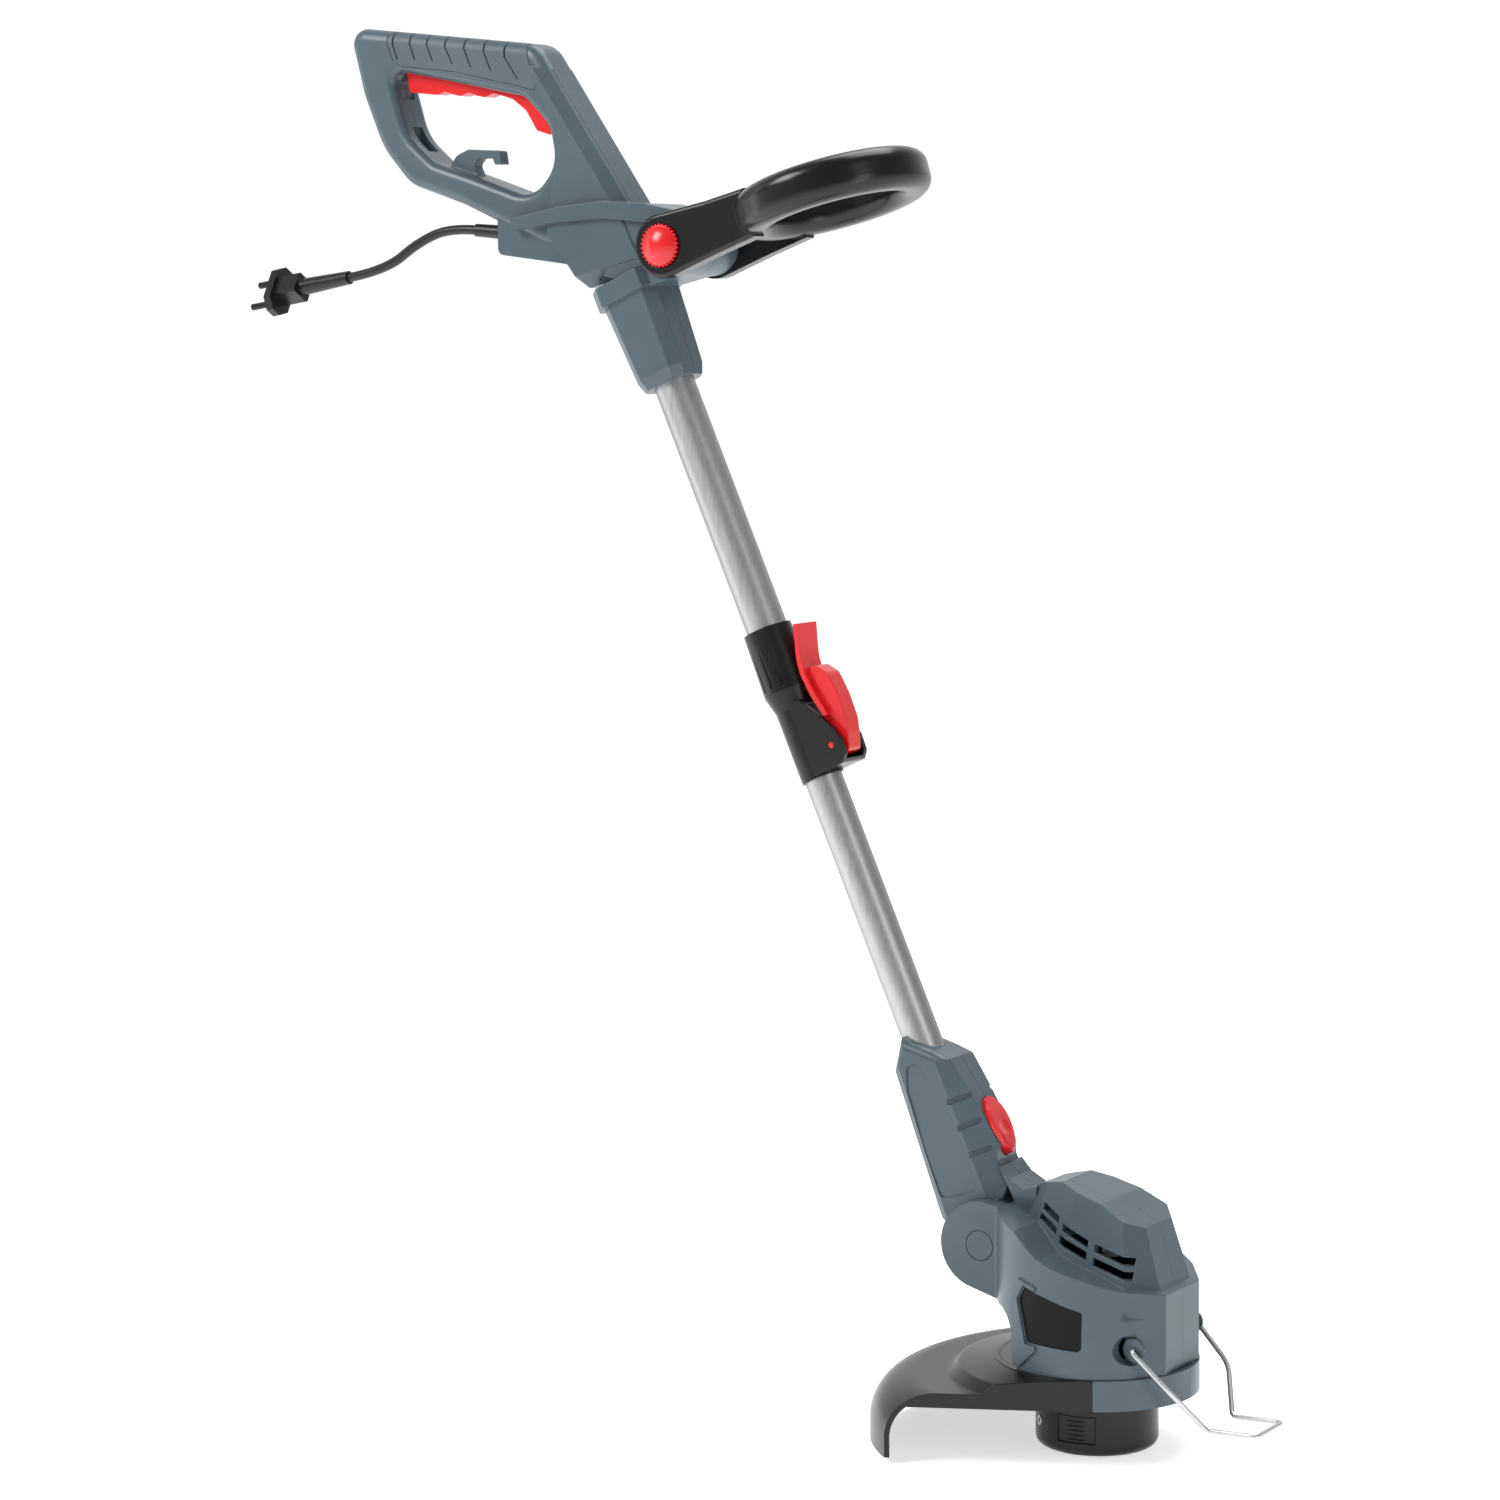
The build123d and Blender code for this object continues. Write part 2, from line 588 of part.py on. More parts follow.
with BuildPart() as lock_collar:
    with BuildSketch(across(COLLAR_END)):
        Circle(COLLAR_NECK_R)
    extrude(amount=50)
    with BuildSketch(across(COLLAR_END + 50)):
        Circle(COLLAR_NECK_R)
    with BuildSketch(across(COLLAR_END + 63)):
        Circle(COLLAR_R + 0.6)
    loft()
    with BuildSketch(across(COLLAR_END + 63)):
        Circle(COLLAR_R + 0.6)
    with BuildSketch(across(COLLAR_TOP)):
        Circle(COLLAR_R - 0.8)
    loft()
    with BuildSketch(SIDE):
        Polygon(*CHEEK_OUTLINE, align=None)
        rounded(CHEEK_OUTLINE[1:5], (3, 5, 6, 12))
    extrude(amount=CHEEK_HALF, both=True)
    with BuildSketch(across(COLLAR_END + 66)):
        with PolarLocations(COLLAR_R + 0.4, FLUTES, start_angle=70, angular_range=250):
            Circle(1)
    extrude(amount=32, mode=Mode.SUBTRACT)
    with BuildSketch(SIDE):
        Polygon((15, 330.5), (40, 330.5), (40, 386), (15, 386), align=None)
    extrude(amount=LEVER_GAP_HALF, both=True, mode=Mode.SUBTRACT)
    with BuildSketch(across(UPPER_TUBE_END)):
        Circle(UPPER_TUBE_R)
    extrude(amount=80, mode=Mode.SUBTRACT)
    with BuildSketch(across(COLLAR_END - 1)):
        Circle(LOWER_TUBE_R + FIT)
    extrude(amount=80, mode=Mode.SUBTRACT)
    with BuildSketch(SIDE):
        with Locations(LEVER_PIN):
            Circle(LEVER_PIN_R + RUNNING)
    extrude(amount=CHEEK_HALF + 1, both=True, mode=Mode.SUBTRACT)
finish(lock_collar, "lock_collar")

PADDLE_OUTLINE = (
    (27.5, 427), (20, 404), (18.8, 394), (20.5, 378), (24, 362), (28, 362), (24, 380),
    (22.4, 394), (24, 406), (31, 426),
)
RIB_OUTLINE = (
    (22, 397), (30, 396), (36.5, 388), (38, 372), (37.5, 355), (35, 346), (31, 334.5),
    (23, 333.5), (17, 338), (17, 346), (22, 354), (22.4, 378),
)
with BuildPart() as lock_lever:
    with BuildSketch(SIDE):
        Polygon(*PADDLE_OUTLINE, align=None)
        rounded(PADDLE_OUTLINE, (1, 30, 0, 40, 1, 1, 40, 0, 30, 1))
    extrude(amount=12, both=True)
    with BuildSketch(SIDE):
        Polygon(*RIB_OUTLINE, align=None)
        rounded(RIB_OUTLINE, (0, 3, 8, 0, 10, 4, 4, 4, 4, 3, 0, 0))
    extrude(amount=7.5, both=True)
    with BuildSketch(SIDE):
        with Locations(LEVER_PIN):
            Circle(6)
    extrude(amount=LEVER_GAP_HALF - 0.4, both=True)
    with BuildSketch(SIDE):
        with Locations(LEVER_PIN):
            Circle(LEVER_PIN_R)
    extrude(amount=CHEEK_HALF - 0.4, both=True)
finish(lock_lever, "lock_lever")

# ---- neck at the foot of the shaft ----------------------------------------------------
NECK_OUTLINE = (
    (-137, 257), (-112, 250), (-101, 246), (-87, 226), (-78, 212), (-66, 192), (-66.8, 181.5),
    (-58.6, 166.2), (-62, 155), (-66, 138), (-98, 135), (-107, 140), (-142, 234),
)
NECK_REAR_EDGE = ((-142, 234), (-107, 140))
NECK_REAR_CUT = 6.0          # the rear corners' chamfer
NECK_RECESS = ((-7, 126), (1, 126), (11, 100), (13.5, 62), (12, 34), (-18, 36), (-17, 70), (-13, 112))
NECK_SCREWS = ((-19, 44), (-16.5, 86), (18.6, 101))
TILT_PIN_R = 5.0
TUBE_BORE_TOP = 150.0
LEAD_SPACE_R = 6.0
BUTTON_UP = 69.0
BUTTON_LONG = 40.0
BUTTON_WIDE = 22.0
BUTTON_TRAVEL = 3.5
BUTTON_BACK = 22.5           # ahead of the shaft's axis
BUTTON_FRONT = 36.5
NECK_FRONT_CUT = ((14, 20.5), (40, 8.5), (40, 25), (14, 25))    # ahead of the axis, and across
NOTCH_UPS = (94, 76, 57)
NOTCH_PLACE = (21, 17.3)     # ahead of the shaft's axis, and across
NOTCH_ACROSS = Vector(26, -12).normalized()
NOTCH_LONG = 18.0
NOTCH_WIDE = 4.0
NOTCH_DEEP = 1.6
LATCH_SLOT = ((22.3, 66), (11, 66), (5, 34), (5, 28), (18.5, 28), (19, 50), (22.3, 55))
LATCH_OUTLINE = (
    (22.5, 64), (19.5, 64), (15.5, 50), (12, 37), (12, 30), (17.3, 30), (18.3, 50), (22.5, 56),
)


def beside(place, y):
    """A plane square to Y at a place beside the shaft: ahead of its axis, and up it."""
    ahead, up = place
    centre = FOOT + AHEAD * ahead + UP_SHAFT * up + Vector(0, y, 0)
    return Plane(origin=centre, x_dir=AHEAD, z_dir=(0, -1, 0))


def notch_plane(side, up):
    """A plane on the neck's slanted front corner, with its x across the corner."""
    ahead, across_it = NOTCH_PLACE
    centre = FOOT + AHEAD * ahead + UP_SHAFT * up + Vector(0, side * across_it, 0)
    along = AHEAD * NOTCH_ACROSS.X + Vector(0, side * NOTCH_ACROSS.Y, 0)
    out = AHEAD * -NOTCH_ACROSS.Y + Vector(0, side * NOTCH_ACROSS.X, 0)
    return Plane(origin=centre, x_dir=along, z_dir=out)


def button_plane(ahead):
    """A plane facing ahead at the tilt button, with its x up the shaft."""
    return Plane(origin=FOOT + UP_SHAFT * BUTTON_UP + AHEAD * ahead, x_dir=UP_SHAFT, z_dir=AHEAD)


with BuildPart() as neck_block:
    with BuildSketch(Plane.XZ):
        Polygon(*NECK_OUTLINE, align=None)
    extrude(amount=NECK_HALF, both=True)
    rims = neck_block.faces().filter_by(Axis.Y)
    fillet([edge for rim in rims for edge in rim.edges() if edge.center().Z > 160], radius=6)
    with BuildSketch(at_y(*PIVOT)):
        Circle(LOBE_R)
    extrude(amount=NECK_HALF, both=True)

rear_top, rear_foot = [Vector(x, 0, z) for x, z in NECK_REAR_EDGE]
rear_down = (rear_foot - rear_top).normalized()
rear_edge = Plane(origin=rear_top, x_dir=Vector(0, 1, 0).cross(rear_down) * -1, z_dir=rear_down)

with BuildPart() as neck_moulding:
    add(neck_block.part)
    for side in (-1, 1):
        with BuildSketch(across(24)):
            Polygon(*[(ahead, side * y) for ahead, y in NECK_FRONT_CUT], align=None)
        extrude(amount=130, mode=Mode.SUBTRACT)
        with BuildSketch(rear_edge):
            Polygon((-3, side * (NECK_HALF - NECK_REAR_CUT)), (NECK_REAR_CUT, side * NECK_HALF),
                    (NECK_REAR_CUT, side * (NECK_HALF + 2)), (-3, side * (NECK_HALF + 2)), align=None)
        extrude(amount=160, both=True, mode=Mode.SUBTRACT)
        with BuildSketch(beside((0, 0), side * NECK_HALF)):
            Polygon(*NECK_RECESS, align=None)
            rounded(NECK_RECESS, (4, 4, 10, 20, 6, 6, 10, 10))
        extrude(amount=1.2, both=True, mode=Mode.SUBTRACT)
        for up in NOTCH_UPS:
            with BuildSketch(notch_plane(side, up).offset(-NOTCH_DEEP)):
                SlotOverall(NOTCH_LONG, NOTCH_WIDE)
            extrude(amount=NOTCH_DEEP + 4, mode=Mode.SUBTRACT)
    with BuildSketch(across(LOWER_TUBE_END)):
        Circle(LOWER_TUBE_R)
    extrude(amount=TUBE_BORE_TOP - LOWER_TUBE_END, mode=Mode.SUBTRACT)
    with BuildSketch(across(60)):
        Circle(LEAD_SPACE_R)
    extrude(amount=31, mode=Mode.SUBTRACT)
    with BuildSketch(button_plane(BUTTON_BACK - BUTTON_TRAVEL - 1.5)):
        Ellipse(BUTTON_LONG / 2 + FIT, BUTTON_WIDE / 2 + FIT)
    extrude(amount=30, mode=Mode.SUBTRACT)
    with BuildSketch(SIDE):
        Polygon(*LATCH_SLOT, align=None)
    extrude(amount=4.4, both=True, mode=Mode.SUBTRACT)
    with BuildSketch(at_y(*PIVOT)):
        Circle(TILT_PIN_R)
    extrude(amount=NECK_HALF + 1, both=True, mode=Mode.SUBTRACT)
    for place in NECK_SCREWS:
        with BuildSketch(beside(place, -8)):
            Circle(SCREW_R)
        extrude(amount=-22, mode=Mode.SUBTRACT)
        with BuildSketch(beside(place, 13)):
            Circle(HEAD_OF_SCREW_R)
        extrude(amount=-12, mode=Mode.SUBTRACT)

neck_right, neck_left = halves(neck_moulding)
for side, shell in (("right", neck_right), ("left", neck_left)):
    shell.label = f"neck_{side}"
    export_step(shell, f"parts/neck_{side}.step")
    print("neck", side, shell.is_valid, len(shell.solids()), round(shell.volume))

with BuildPart() as neck_screws:
    for place in NECK_SCREWS:
        with BuildSketch(beside(place, -8)):
            Circle(SCREW_R)
        extrude(amount=-21)
        with BuildSketch(beside(place, 13)):
            Circle(HEAD_OF_SCREW_R)
            RegularPolygon(1.4, 6, mode=Mode.SUBTRACT)
        extrude(amount=-2.6)
finish(neck_screws, "neck_screws")

with BuildPart() as tilt_pin:
    with BuildSketch(at_y(*PIVOT)):
        Circle(TILT_PIN_R)
    extrude(amount=LOBE_HALF - 1.5, both=True)
finish(tilt_pin, "tilt_pin")

with BuildPart() as tilt_button:
    with BuildSketch(button_plane(BUTTON_BACK)):
        Ellipse(BUTTON_LONG / 2, BUTTON_WIDE / 2)
    extrude(amount=BUTTON_FRONT - BUTTON_BACK)
    fillet(tilt_button.faces().sort_by(Axis(FOOT, AHEAD))[-1].edges(), radius=3.5)
    with Locations(button_plane(BUTTON_FRONT + 20)):
        Sphere(21.6, mode=Mode.SUBTRACT)
    # cut to the slope of the neck's front
    with BuildSketch(SIDE):
        Polygon((31, 93), (34.2, 80), (36.7, 60), (36.7, 52), (33, 45), (60, 45), (60, 93), align=None)
    extrude(amount=30, both=True, mode=Mode.SUBTRACT)
finish(tilt_button, "tilt_button")

with BuildPart() as tilt_latch:
    with BuildSketch(SIDE):
        Polygon(*LATCH_OUTLINE, align=None)
    extrude(amount=4, both=True)
finish(tilt_latch, "tilt_latch")

with BuildPart() as button_spring:
    with BuildSketch(button_plane(BUTTON_BACK - BUTTON_TRAVEL - 1.5)):
        with Locations((12, 0)):
            Circle(2.6)
            Circle(1.4, mode=Mode.SUBTRACT)
    extrude(amount=1.2)
finish(button_spring, "button_spring")

# ---- motor head: the two moulded halves -----------------------------------------------
HEAD_SIDE = (
    (-66, 157), (-50, 154.5), (-31, 147.5), (-10, 132.5), (4, 127), (19, 122.8), (40, 116),
    (58, 111.5), (66, 108.5), (66, 58), (-27, 58), (-29, 66), (-33.5, 83), (-38, 91), (-45, 94.5),
    (-58, 94.5), (-76, 99.5),
)
ARM_PLAN = ((-102, -31), (-50, -31), (-50, 31), (-102, 31))
ARM_ROOT_X = -sqrt(HEAD_R ** 2 - LOBE_HALF ** 2)       # where the arms leave the round body
NOSE_PLAN = ((0, -64), (46, -46.2), (61.5, -24), (61.5, 24), (46, 46.2), (0, 64))
CAP_PLAN = (
    (61, -23), (61, 23), (45, 49.5), (-6, 49.5), (-38, 38), (-60, 24), (-60, -24), (-38, -38),
    (-6, -49.5), (45, -49.5),
)
CAP_SIDE = ((-80, 96), (-46, 164), (-31, 171.5), (-15, 174.5), (17, 165), (45, 150), (80, 96))
CAVITY_PLAN = ((57, -21), (57, 21), (42, 45), (-8, 45), (-32, 34), (-32, -34), (-8, -45), (42, -45))
CLEVIS = (
    (-70, 128), (-57.5, 166), (-66, 182), (-66, 260), (-200, 260), (-200, 100), (-98, 112),
)
THROAT = ((-64, 179), (-57, 171), (-46, 165), (-36, 168), (-36, 146), (-44, 142), (-53, 158))
VENTS = (
    ((-27, 160), (-12.6, 153.5), (-12.6, 149), (-27.5, 155.5)),
    ((-8.5, 150), (12, 142), (12, 137.3), (-8.5, 145.5)),
    ((17, 140.4), (43.5, 133.4), (43.5, 128.3), (17, 135.5)),
    ((-29, 153.2), (-13.6, 146.3), (-13.6, 142), (-29.5, 149.5)),
    ((-10, 142.8), (12, 134.9), (12, 129.5), (-10, 137.5)),
    ((17, 132.2), (44, 125), (44, 119.8), (17, 127)),
)
BADGE = ((-25, 105), (-20, 113.5), (21, 101.5), (20.5, 76), (-18, 78))
BADGE_DEPTH = 1.6
BEZEL = ((-33.5, 103), (-25, 118.5), (-11, 114.4), (-11, 73), (-24, 61), (-30, 61))
BEZEL_PROUD = 1.6
MOTOR_R = 24.0
MOTOR_BASE = 86.0
MOTOR_TOP = 128.0
BEARING_R = 8.0
HEAD_CAVITY_R = 58.0
CAVITY_TOP = 97.0
HEAD_SCREWS = ((-30.3, 89), (-40, 112), (52, 66), (52, 103))
PIVOT_CAP_R = 9.7
RECESS_R = 10.0              # the round pocket the edge guide turns in
PLATE_TOP = ((-13.5, 174.1), (16, 165.3), (15.6, 164.1), (-13.9, 172.9))

with BuildPart() as head_low:
    with BuildSketch(Plane.XZ):
        Polygon(*HEAD_SIDE, align=None)
        rounded(HEAD_SIDE[:2] + HEAD_SIDE[11:14], (6, 20, 6, 8, 8))
        with Locations(PIVOT):
            Circle(LOBE_R)
    extrude(amount=80, both=True)
    with BuildSketch(Plane.XY.offset(40)):
        Circle(HEAD_R)
        with Locations((56, 0)):
            Rectangle(20, 140, mode=Mode.SUBTRACT)
        Polygon(*NOSE_PLAN, align=None)
        Polygon(*ARM_PLAN, align=None)
        rounded(((ARM_ROOT_X, -LOBE_HALF), (ARM_ROOT_X, LOBE_HALF)), (4, 4))
    extrude(amount=140, mode=Mode.INTERSECT)

with BuildPart() as head_cap:
    with BuildSketch(Plane.XY.offset(CAP_BASE)):
        Polygon(*CAP_PLAN, align=None)
    extrude(amount=82, taper=CAP_DRAFT)
    with BuildSketch(Plane.XZ):
        Polygon(*CAP_SIDE, align=None)
    extrude(amount=80, both=True, mode=Mode.INTERSECT)

with BuildPart() as cap_cavity:
    with BuildSketch(Plane.XY.offset(CAVITY_TOP + 4)):
        Polygon(*CAVITY_PLAN, align=None)
    extrude(amount=42, taper=CAP_DRAFT)

with BuildPart() as badge_block:
    with BuildSketch(Plane.XZ):
        Polygon(*BADGE, align=None)
        rounded(BADGE, (2, 2, 2, 3, 2))
    extrude(amount=80, both=True)
    with BuildSketch(Plane.XY.offset(60)):
        Circle(HEAD_R - 0.4)
        Circle(HEAD_R - 0.4 - BADGE_DEPTH, mode=Mode.SUBTRACT)
    extrude(amount=70, mode=Mode.INTERSECT)

with BuildPart() as badge_pocket:
    with BuildSketch(Plane.XZ):
        Polygon(*BADGE, align=None)
        rounded(BADGE, (2, 2, 2, 3, 2))
    extrude(amount=80, both=True)
    with BuildSketch(Plane.XY.offset(60)):
        Circle(HEAD_R + 2)
        Circle(HEAD_R - 0.4 - BADGE_DEPTH, mode=Mode.SUBTRACT)
    extrude(amount=70, mode=Mode.INTERSECT)

# a raised bezel behind the badge
with BuildPart() as badge_bezel:
    with BuildSketch(Plane.XZ):
        Polygon(*BEZEL, align=None)
        with BuildSketch(mode=Mode.PRIVATE) as badge_room:
            Polygon(*BADGE, align=None)
            offset(amount=1.2)
        add(badge_room.sketch, mode=Mode.SUBTRACT)
    extrude(amount=80, both=True)
    with BuildSketch(Plane.XY.offset(60)):
        Circle(HEAD_R + BEZEL_PROUD)
        Circle(HEAD_R - 2, mode=Mode.SUBTRACT)
    extrude(amount=70, mode=Mode.INTERSECT)

with BuildPart() as head_moulding:
    add(head_low.part)
    add(head_cap.part)
    add(badge_bezel.part)
    with BuildSketch(at_y(*PIVOT)):
        Circle(LOBE_R + 2)
    extrude(amount=CLEVIS_HALF, both=True, mode=Mode.SUBTRACT)
    with BuildSketch(Plane.XZ):
        Polygon(*CLEVIS, align=None)
    extrude(amount=CLEVIS_HALF, both=True, mode=Mode.SUBTRACT)
    with BuildSketch(Plane.XZ):
        Polygon(*THROAT, align=None)
    extrude(amount=16, both=True)
    # the space round the fan, then the motor's seat, then the space under the cap
    with BuildSketch(Plane.XY.offset(SKIRT_TOP + WALL)):
        Circle(HEAD_CAVITY_R)
        with Locations((-59, 0)):
            Rectangle(68, 140, mode=Mode.SUBTRACT)
        with Locations((70, 0)):
            Rectangle(32, 140, mode=Mode.SUBTRACT)
    extrude(amount=CAVITY_TOP - SKIRT_TOP - WALL, mode=Mode.SUBTRACT)
    with BuildSketch(Plane.XY.offset(CAVITY_TOP - 1)):
        Circle(MOTOR_R)
    extrude(amount=MOTOR_TOP + 2 - CAVITY_TOP, mode=Mode.SUBTRACT)
    add(cap_cavity.part, mode=Mode.SUBTRACT)
    with BuildSketch(Plane.XY.offset(SKIRT_TOP - 1)):
        Circle(16)
    extrude(amount=WALL + 2, mode=Mode.SUBTRACT)
    for slot in VENTS:
        for side in (-1, 1):
            with BuildSketch(at_y(0, 0, side * 17)):
                Polygon(*slot, align=None)
            extrude(amount=-side * 57, mode=Mode.SUBTRACT)
    add(badge_pocket.part, mode=Mode.SUBTRACT)
    with BuildSketch(at_y(*PIVOT)):
        Circle(TILT_PIN_R + RUNNING)
    extrude(amount=LOBE_HALF - 1.4, both=True, mode=Mode.SUBTRACT)
    for side in (-1, 1):
        with BuildSketch(at_y(*PIVOT, side * (LOBE_HALF - 1))):
            Circle(PIVOT_CAP_R + 0.4)
        extrude(amount=-side * 4, mode=Mode.SUBTRACT)
        # the wire's recess: a round pocket with a hole for the wire's end
        with BuildSketch(at_y(*WIRE_PIVOT, side * 41)):
            Circle(RECESS_R)
        extrude(amount=-side * 12, mode=Mode.SUBTRACT)
        with BuildSketch(at_y(*WIRE_PIVOT, side * 36)):
            Circle(WIRE_R + RUNNING)
        extrude(amount=-side * 8, mode=Mode.SUBTRACT)
    with BuildSketch(Plane.XZ):
        Polygon(*PLATE_TOP, align=None)
    extrude(amount=11.5, both=True, mode=Mode.SUBTRACT)
    for x, z in HEAD_SCREWS:
        with BuildSketch(at_y(x, z, -6)):
            Circle(SCREW_R)
        extrude(amount=-24, mode=Mode.SUBTRACT)
        with BuildSketch(at_y(x, z, 16)):
            Circle(HEAD_OF_SCREW_R)
        extrude(amount=-60, mode=Mode.SUBTRACT)

head_right, head_left = halves(head_moulding)
for side, shell in (("right", head_right), ("left", head_left)):
    shell.label = f"head_{side}"
    export_step(shell, f"parts/head_{side}.step")
    print("head", side, shell.is_valid, len(shell.solids()), round(shell.volume))

with BuildPart() as head_screws:
    for x, z in HEAD_SCREWS:
        with BuildSketch(at_y(x, z, -6)):
            Circle(SCREW_R)
        extrude(amount=-23)
        with BuildSketch(at_y(x, z, 16)):
            Circle(HEAD_OF_SCREW_R)
            RegularPolygon(1.4, 6, mode=Mode.SUBTRACT)
        extrude(amount=-2.6)
finish(head_screws, "head_screws")

badges = halves(badge_block)
for side, badge in zip(("right", "left"), badges):
    badge.label = f"badge_{side}"
    export_step(badge, f"parts/badge_{side}.step")

with BuildPart() as rating_plate:
    with BuildSketch(Plane.XZ):
        Polygon(*PLATE_TOP, align=None)
    extrude(amount=11.5, both=True)
finish(rating_plate, "rating_plate")

with BuildPart() as pivot_caps:
    for side in (-1, 1):
        with BuildSketch(at_y(*PIVOT, side * (LOBE_HALF - 1))):
            Circle(PIVOT_CAP_R)
        extrude(amount=-side * 1.0)
finish(pivot_caps, "pivot_caps")

with BuildPart() as wire_clips:
    for side in (-1, 1):
        with BuildSketch(at_y(*WIRE_PIVOT, side * 41)):
            Circle(RECESS_R - 2.5)
            Circle(WIRE_R + RUNNING, mode=Mode.SUBTRACT)
        extrude(amount=-side * 2)
finish(wire_clips, "wire_clips")

# ---- motor ----------------------------------------------------------------------------
CAN_WALL = 2.0
END_WALL = 3.0
ARMATURE_R = 17.5
MAGNET_R = 19.0
COMMUTATOR_R = 8.0
ARMATURE_BASE = 92.0
ARMATURE_TOP = 114.0
SHAFT_BASE = 14.0
SHAFT_END = 131.0


def ring(low, high, outer, inner, name):
    """A plain ring about Z, written out under its own name."""
    with BuildPart() as piece:
        with BuildSketch(Plane.XY.offset(low)):
            Circle(outer)
            Circle(inner, mode=Mode.SUBTRACT)
        extrude(amount=high - low)
    finish(piece, name)


with BuildPart() as motor_can:
    with BuildSketch(Plane.XY.offset(MOTOR_BASE)):
        Circle(MOTOR_R)
    extrude(amount=MOTOR_TOP - MOTOR_BASE)
    with BuildSketch(Plane.XY.offset(MOTOR_BASE + END_WALL)):
        Circle(MOTOR_R - CAN_WALL)
    extrude(amount=MOTOR_TOP - MOTOR_BASE - 2 * END_WALL, mode=Mode.SUBTRACT)
    with BuildSketch(Plane.XY.offset(MOTOR_BASE - 1)):
        Circle(BEARING_R)
    extrude(amount=MOTOR_TOP - MOTOR_BASE + 2, mode=Mode.SUBTRACT)
finish(motor_can, "motor_can")

ring(MOTOR_BASE, MOTOR_BASE + END_WALL, BEARING_R, SHAFT_R + 0.05, "lower_bearing")
ring(MOTOR_TOP - END_WALL, MOTOR_TOP, BEARING_R, SHAFT_R + 0.05, "upper_bearing")
ring(ARMATURE_BASE, ARMATURE_TOP, MOTOR_R - CAN_WALL, MAGNET_R, "motor_magnet")

with BuildPart() as armature:
    with BuildSketch(Plane.XY.offset(ARMATURE_BASE)):
        Circle(ARMATURE_R)
        with PolarLocations(ARMATURE_R - 3, 8):
            Rectangle(7, 1.6, mode=Mode.SUBTRACT)
    extrude(amount=ARMATURE_TOP - ARMATURE_BASE)
    with BuildSketch(Plane.XY.offset(ARMATURE_TOP)):
        Circle(COMMUTATOR_R)
    extrude(amount=9)
    with BuildSketch(Plane.XY.offset(ARMATURE_BASE)):
        Circle(SHAFT_R)
    extrude(amount=40, mode=Mode.SUBTRACT)
finish(armature, "armature")

with BuildPart() as motor_brushes:
    with BuildSketch(Plane.XY.offset(ARMATURE_TOP + 2.5)):
        for side in (-1, 1):
            with Locations((0, side * 15)):
                Rectangle(5, 13)
    extrude(amount=4)
finish(motor_brushes, "motor_brushes")

with BuildPart() as motor_shaft:
    with BuildSketch(Plane.XY.offset(SHAFT_BASE)):
        Circle(SHAFT_R)
    extrude(amount=SHAFT_END - SHAFT_BASE)
    chamfer(motor_shaft.edges().filter_by(GeomType.CIRCLE), length=0.6)
finish(motor_shaft, "motor_shaft")

FAN_BASE = 72.0
FAN_R = 23.0
FAN_BLADES = 8
with BuildPart() as cooling_fan:
    with BuildSketch(Plane.XY.offset(FAN_BASE)):
        Circle(FAN_R)
    extrude(amount=1.6)
    with BuildSketch(Plane.XY.offset(FAN_BASE)):
        with PolarLocations(FAN_R - 9, FAN_BLADES):
            Rectangle(16, 1.4)
        Circle(7)
    extrude(amount=9)
    with BuildSketch(Plane.XY.offset(FAN_BASE - 1)):
        Circle(SHAFT_R)
    extrude(amount=12, mode=Mode.SUBTRACT)
finish(cooling_fan, "cooling_fan")

# ---- skirt, base plate and guard ------------------------------------------------------
PLATE_THICK = 3.0
SKIRT_WALL = 3.2
GUARD_WALL = 3.0
FLANGE_IN = 48.0
RIM_ROUND = 30.0             # the guard's shoulder, outside
DECK = 47.0
STEP_R = 97.0
RIB_BASE = 37.5

with BuildPart() as skirt_ring:
    with BuildSketch(Plane.XY.offset(SKIRT_BASE)):
        Circle(SKIRT_R)
        Circle(SKIRT_R - SKIRT_WALL, mode=Mode.SUBTRACT)
    extrude(amount=SKIRT_TOP - SKIRT_BASE)

FRONT_SECTOR = (
    (0, 0), (90 * cos(radians(SKIRT_SPAN)), -90 * sin(radians(SKIRT_SPAN))), (120, -82), (120, 82),
    (90 * cos(radians(SKIRT_SPAN)), 90 * sin(radians(SKIRT_SPAN))),
)
with BuildPart() as head_skirt:
    add(skirt_ring.part)
    with BuildSketch(Plane.XY):
        Polygon(*FRONT_SECTOR, align=None)
    extrude(amount=80, mode=Mode.INTERSECT)
finish(head_skirt, "head_skirt")

screw_angles = [180 + 50 * step for step in (-1, 0, 1)]
with BuildPart() as base_plate:
    with BuildSketch(Plane.XY.offset(SKIRT_TOP - PLATE_THICK)):
        Circle(SKIRT_R - SKIRT_WALL - FIT)
        Circle(14, mode=Mode.SUBTRACT)
        for angle in screw_angles:
            with Locations((54 * cos(radians(angle)), 54 * sin(radians(angle)))):
                Circle(SCREW_R, mode=Mode.SUBTRACT)
    extrude(amount=PLATE_THICK)
finish(base_plate, "base_plate")

GUARD_PLAN = (
    (28.4, -59.6), (-115, -124.4), (-160, -124.4), (-160, 124.4), (-115, 124.4), (28.4, 59.6),
)
GUARD_TOP = ((64, 58), (90, 54), (STEP_R, DECK), (GUARD_R, DECK), (GUARD_R, GUARD_BASE))

with BuildPart() as guard_block:
    with BuildSketch(Plane.XZ):
        Polygon(*GUARD_TOP, (64, GUARD_BASE), align=None)
        rounded(GUARD_TOP, (0, 3, 3, RIM_ROUND, 0))
    revolve(axis=Axis.Z)
    with BuildSketch(Plane.XY):
        Polygon(*GUARD_PLAN, align=None)
    extrude(amount=80, mode=Mode.INTERSECT)

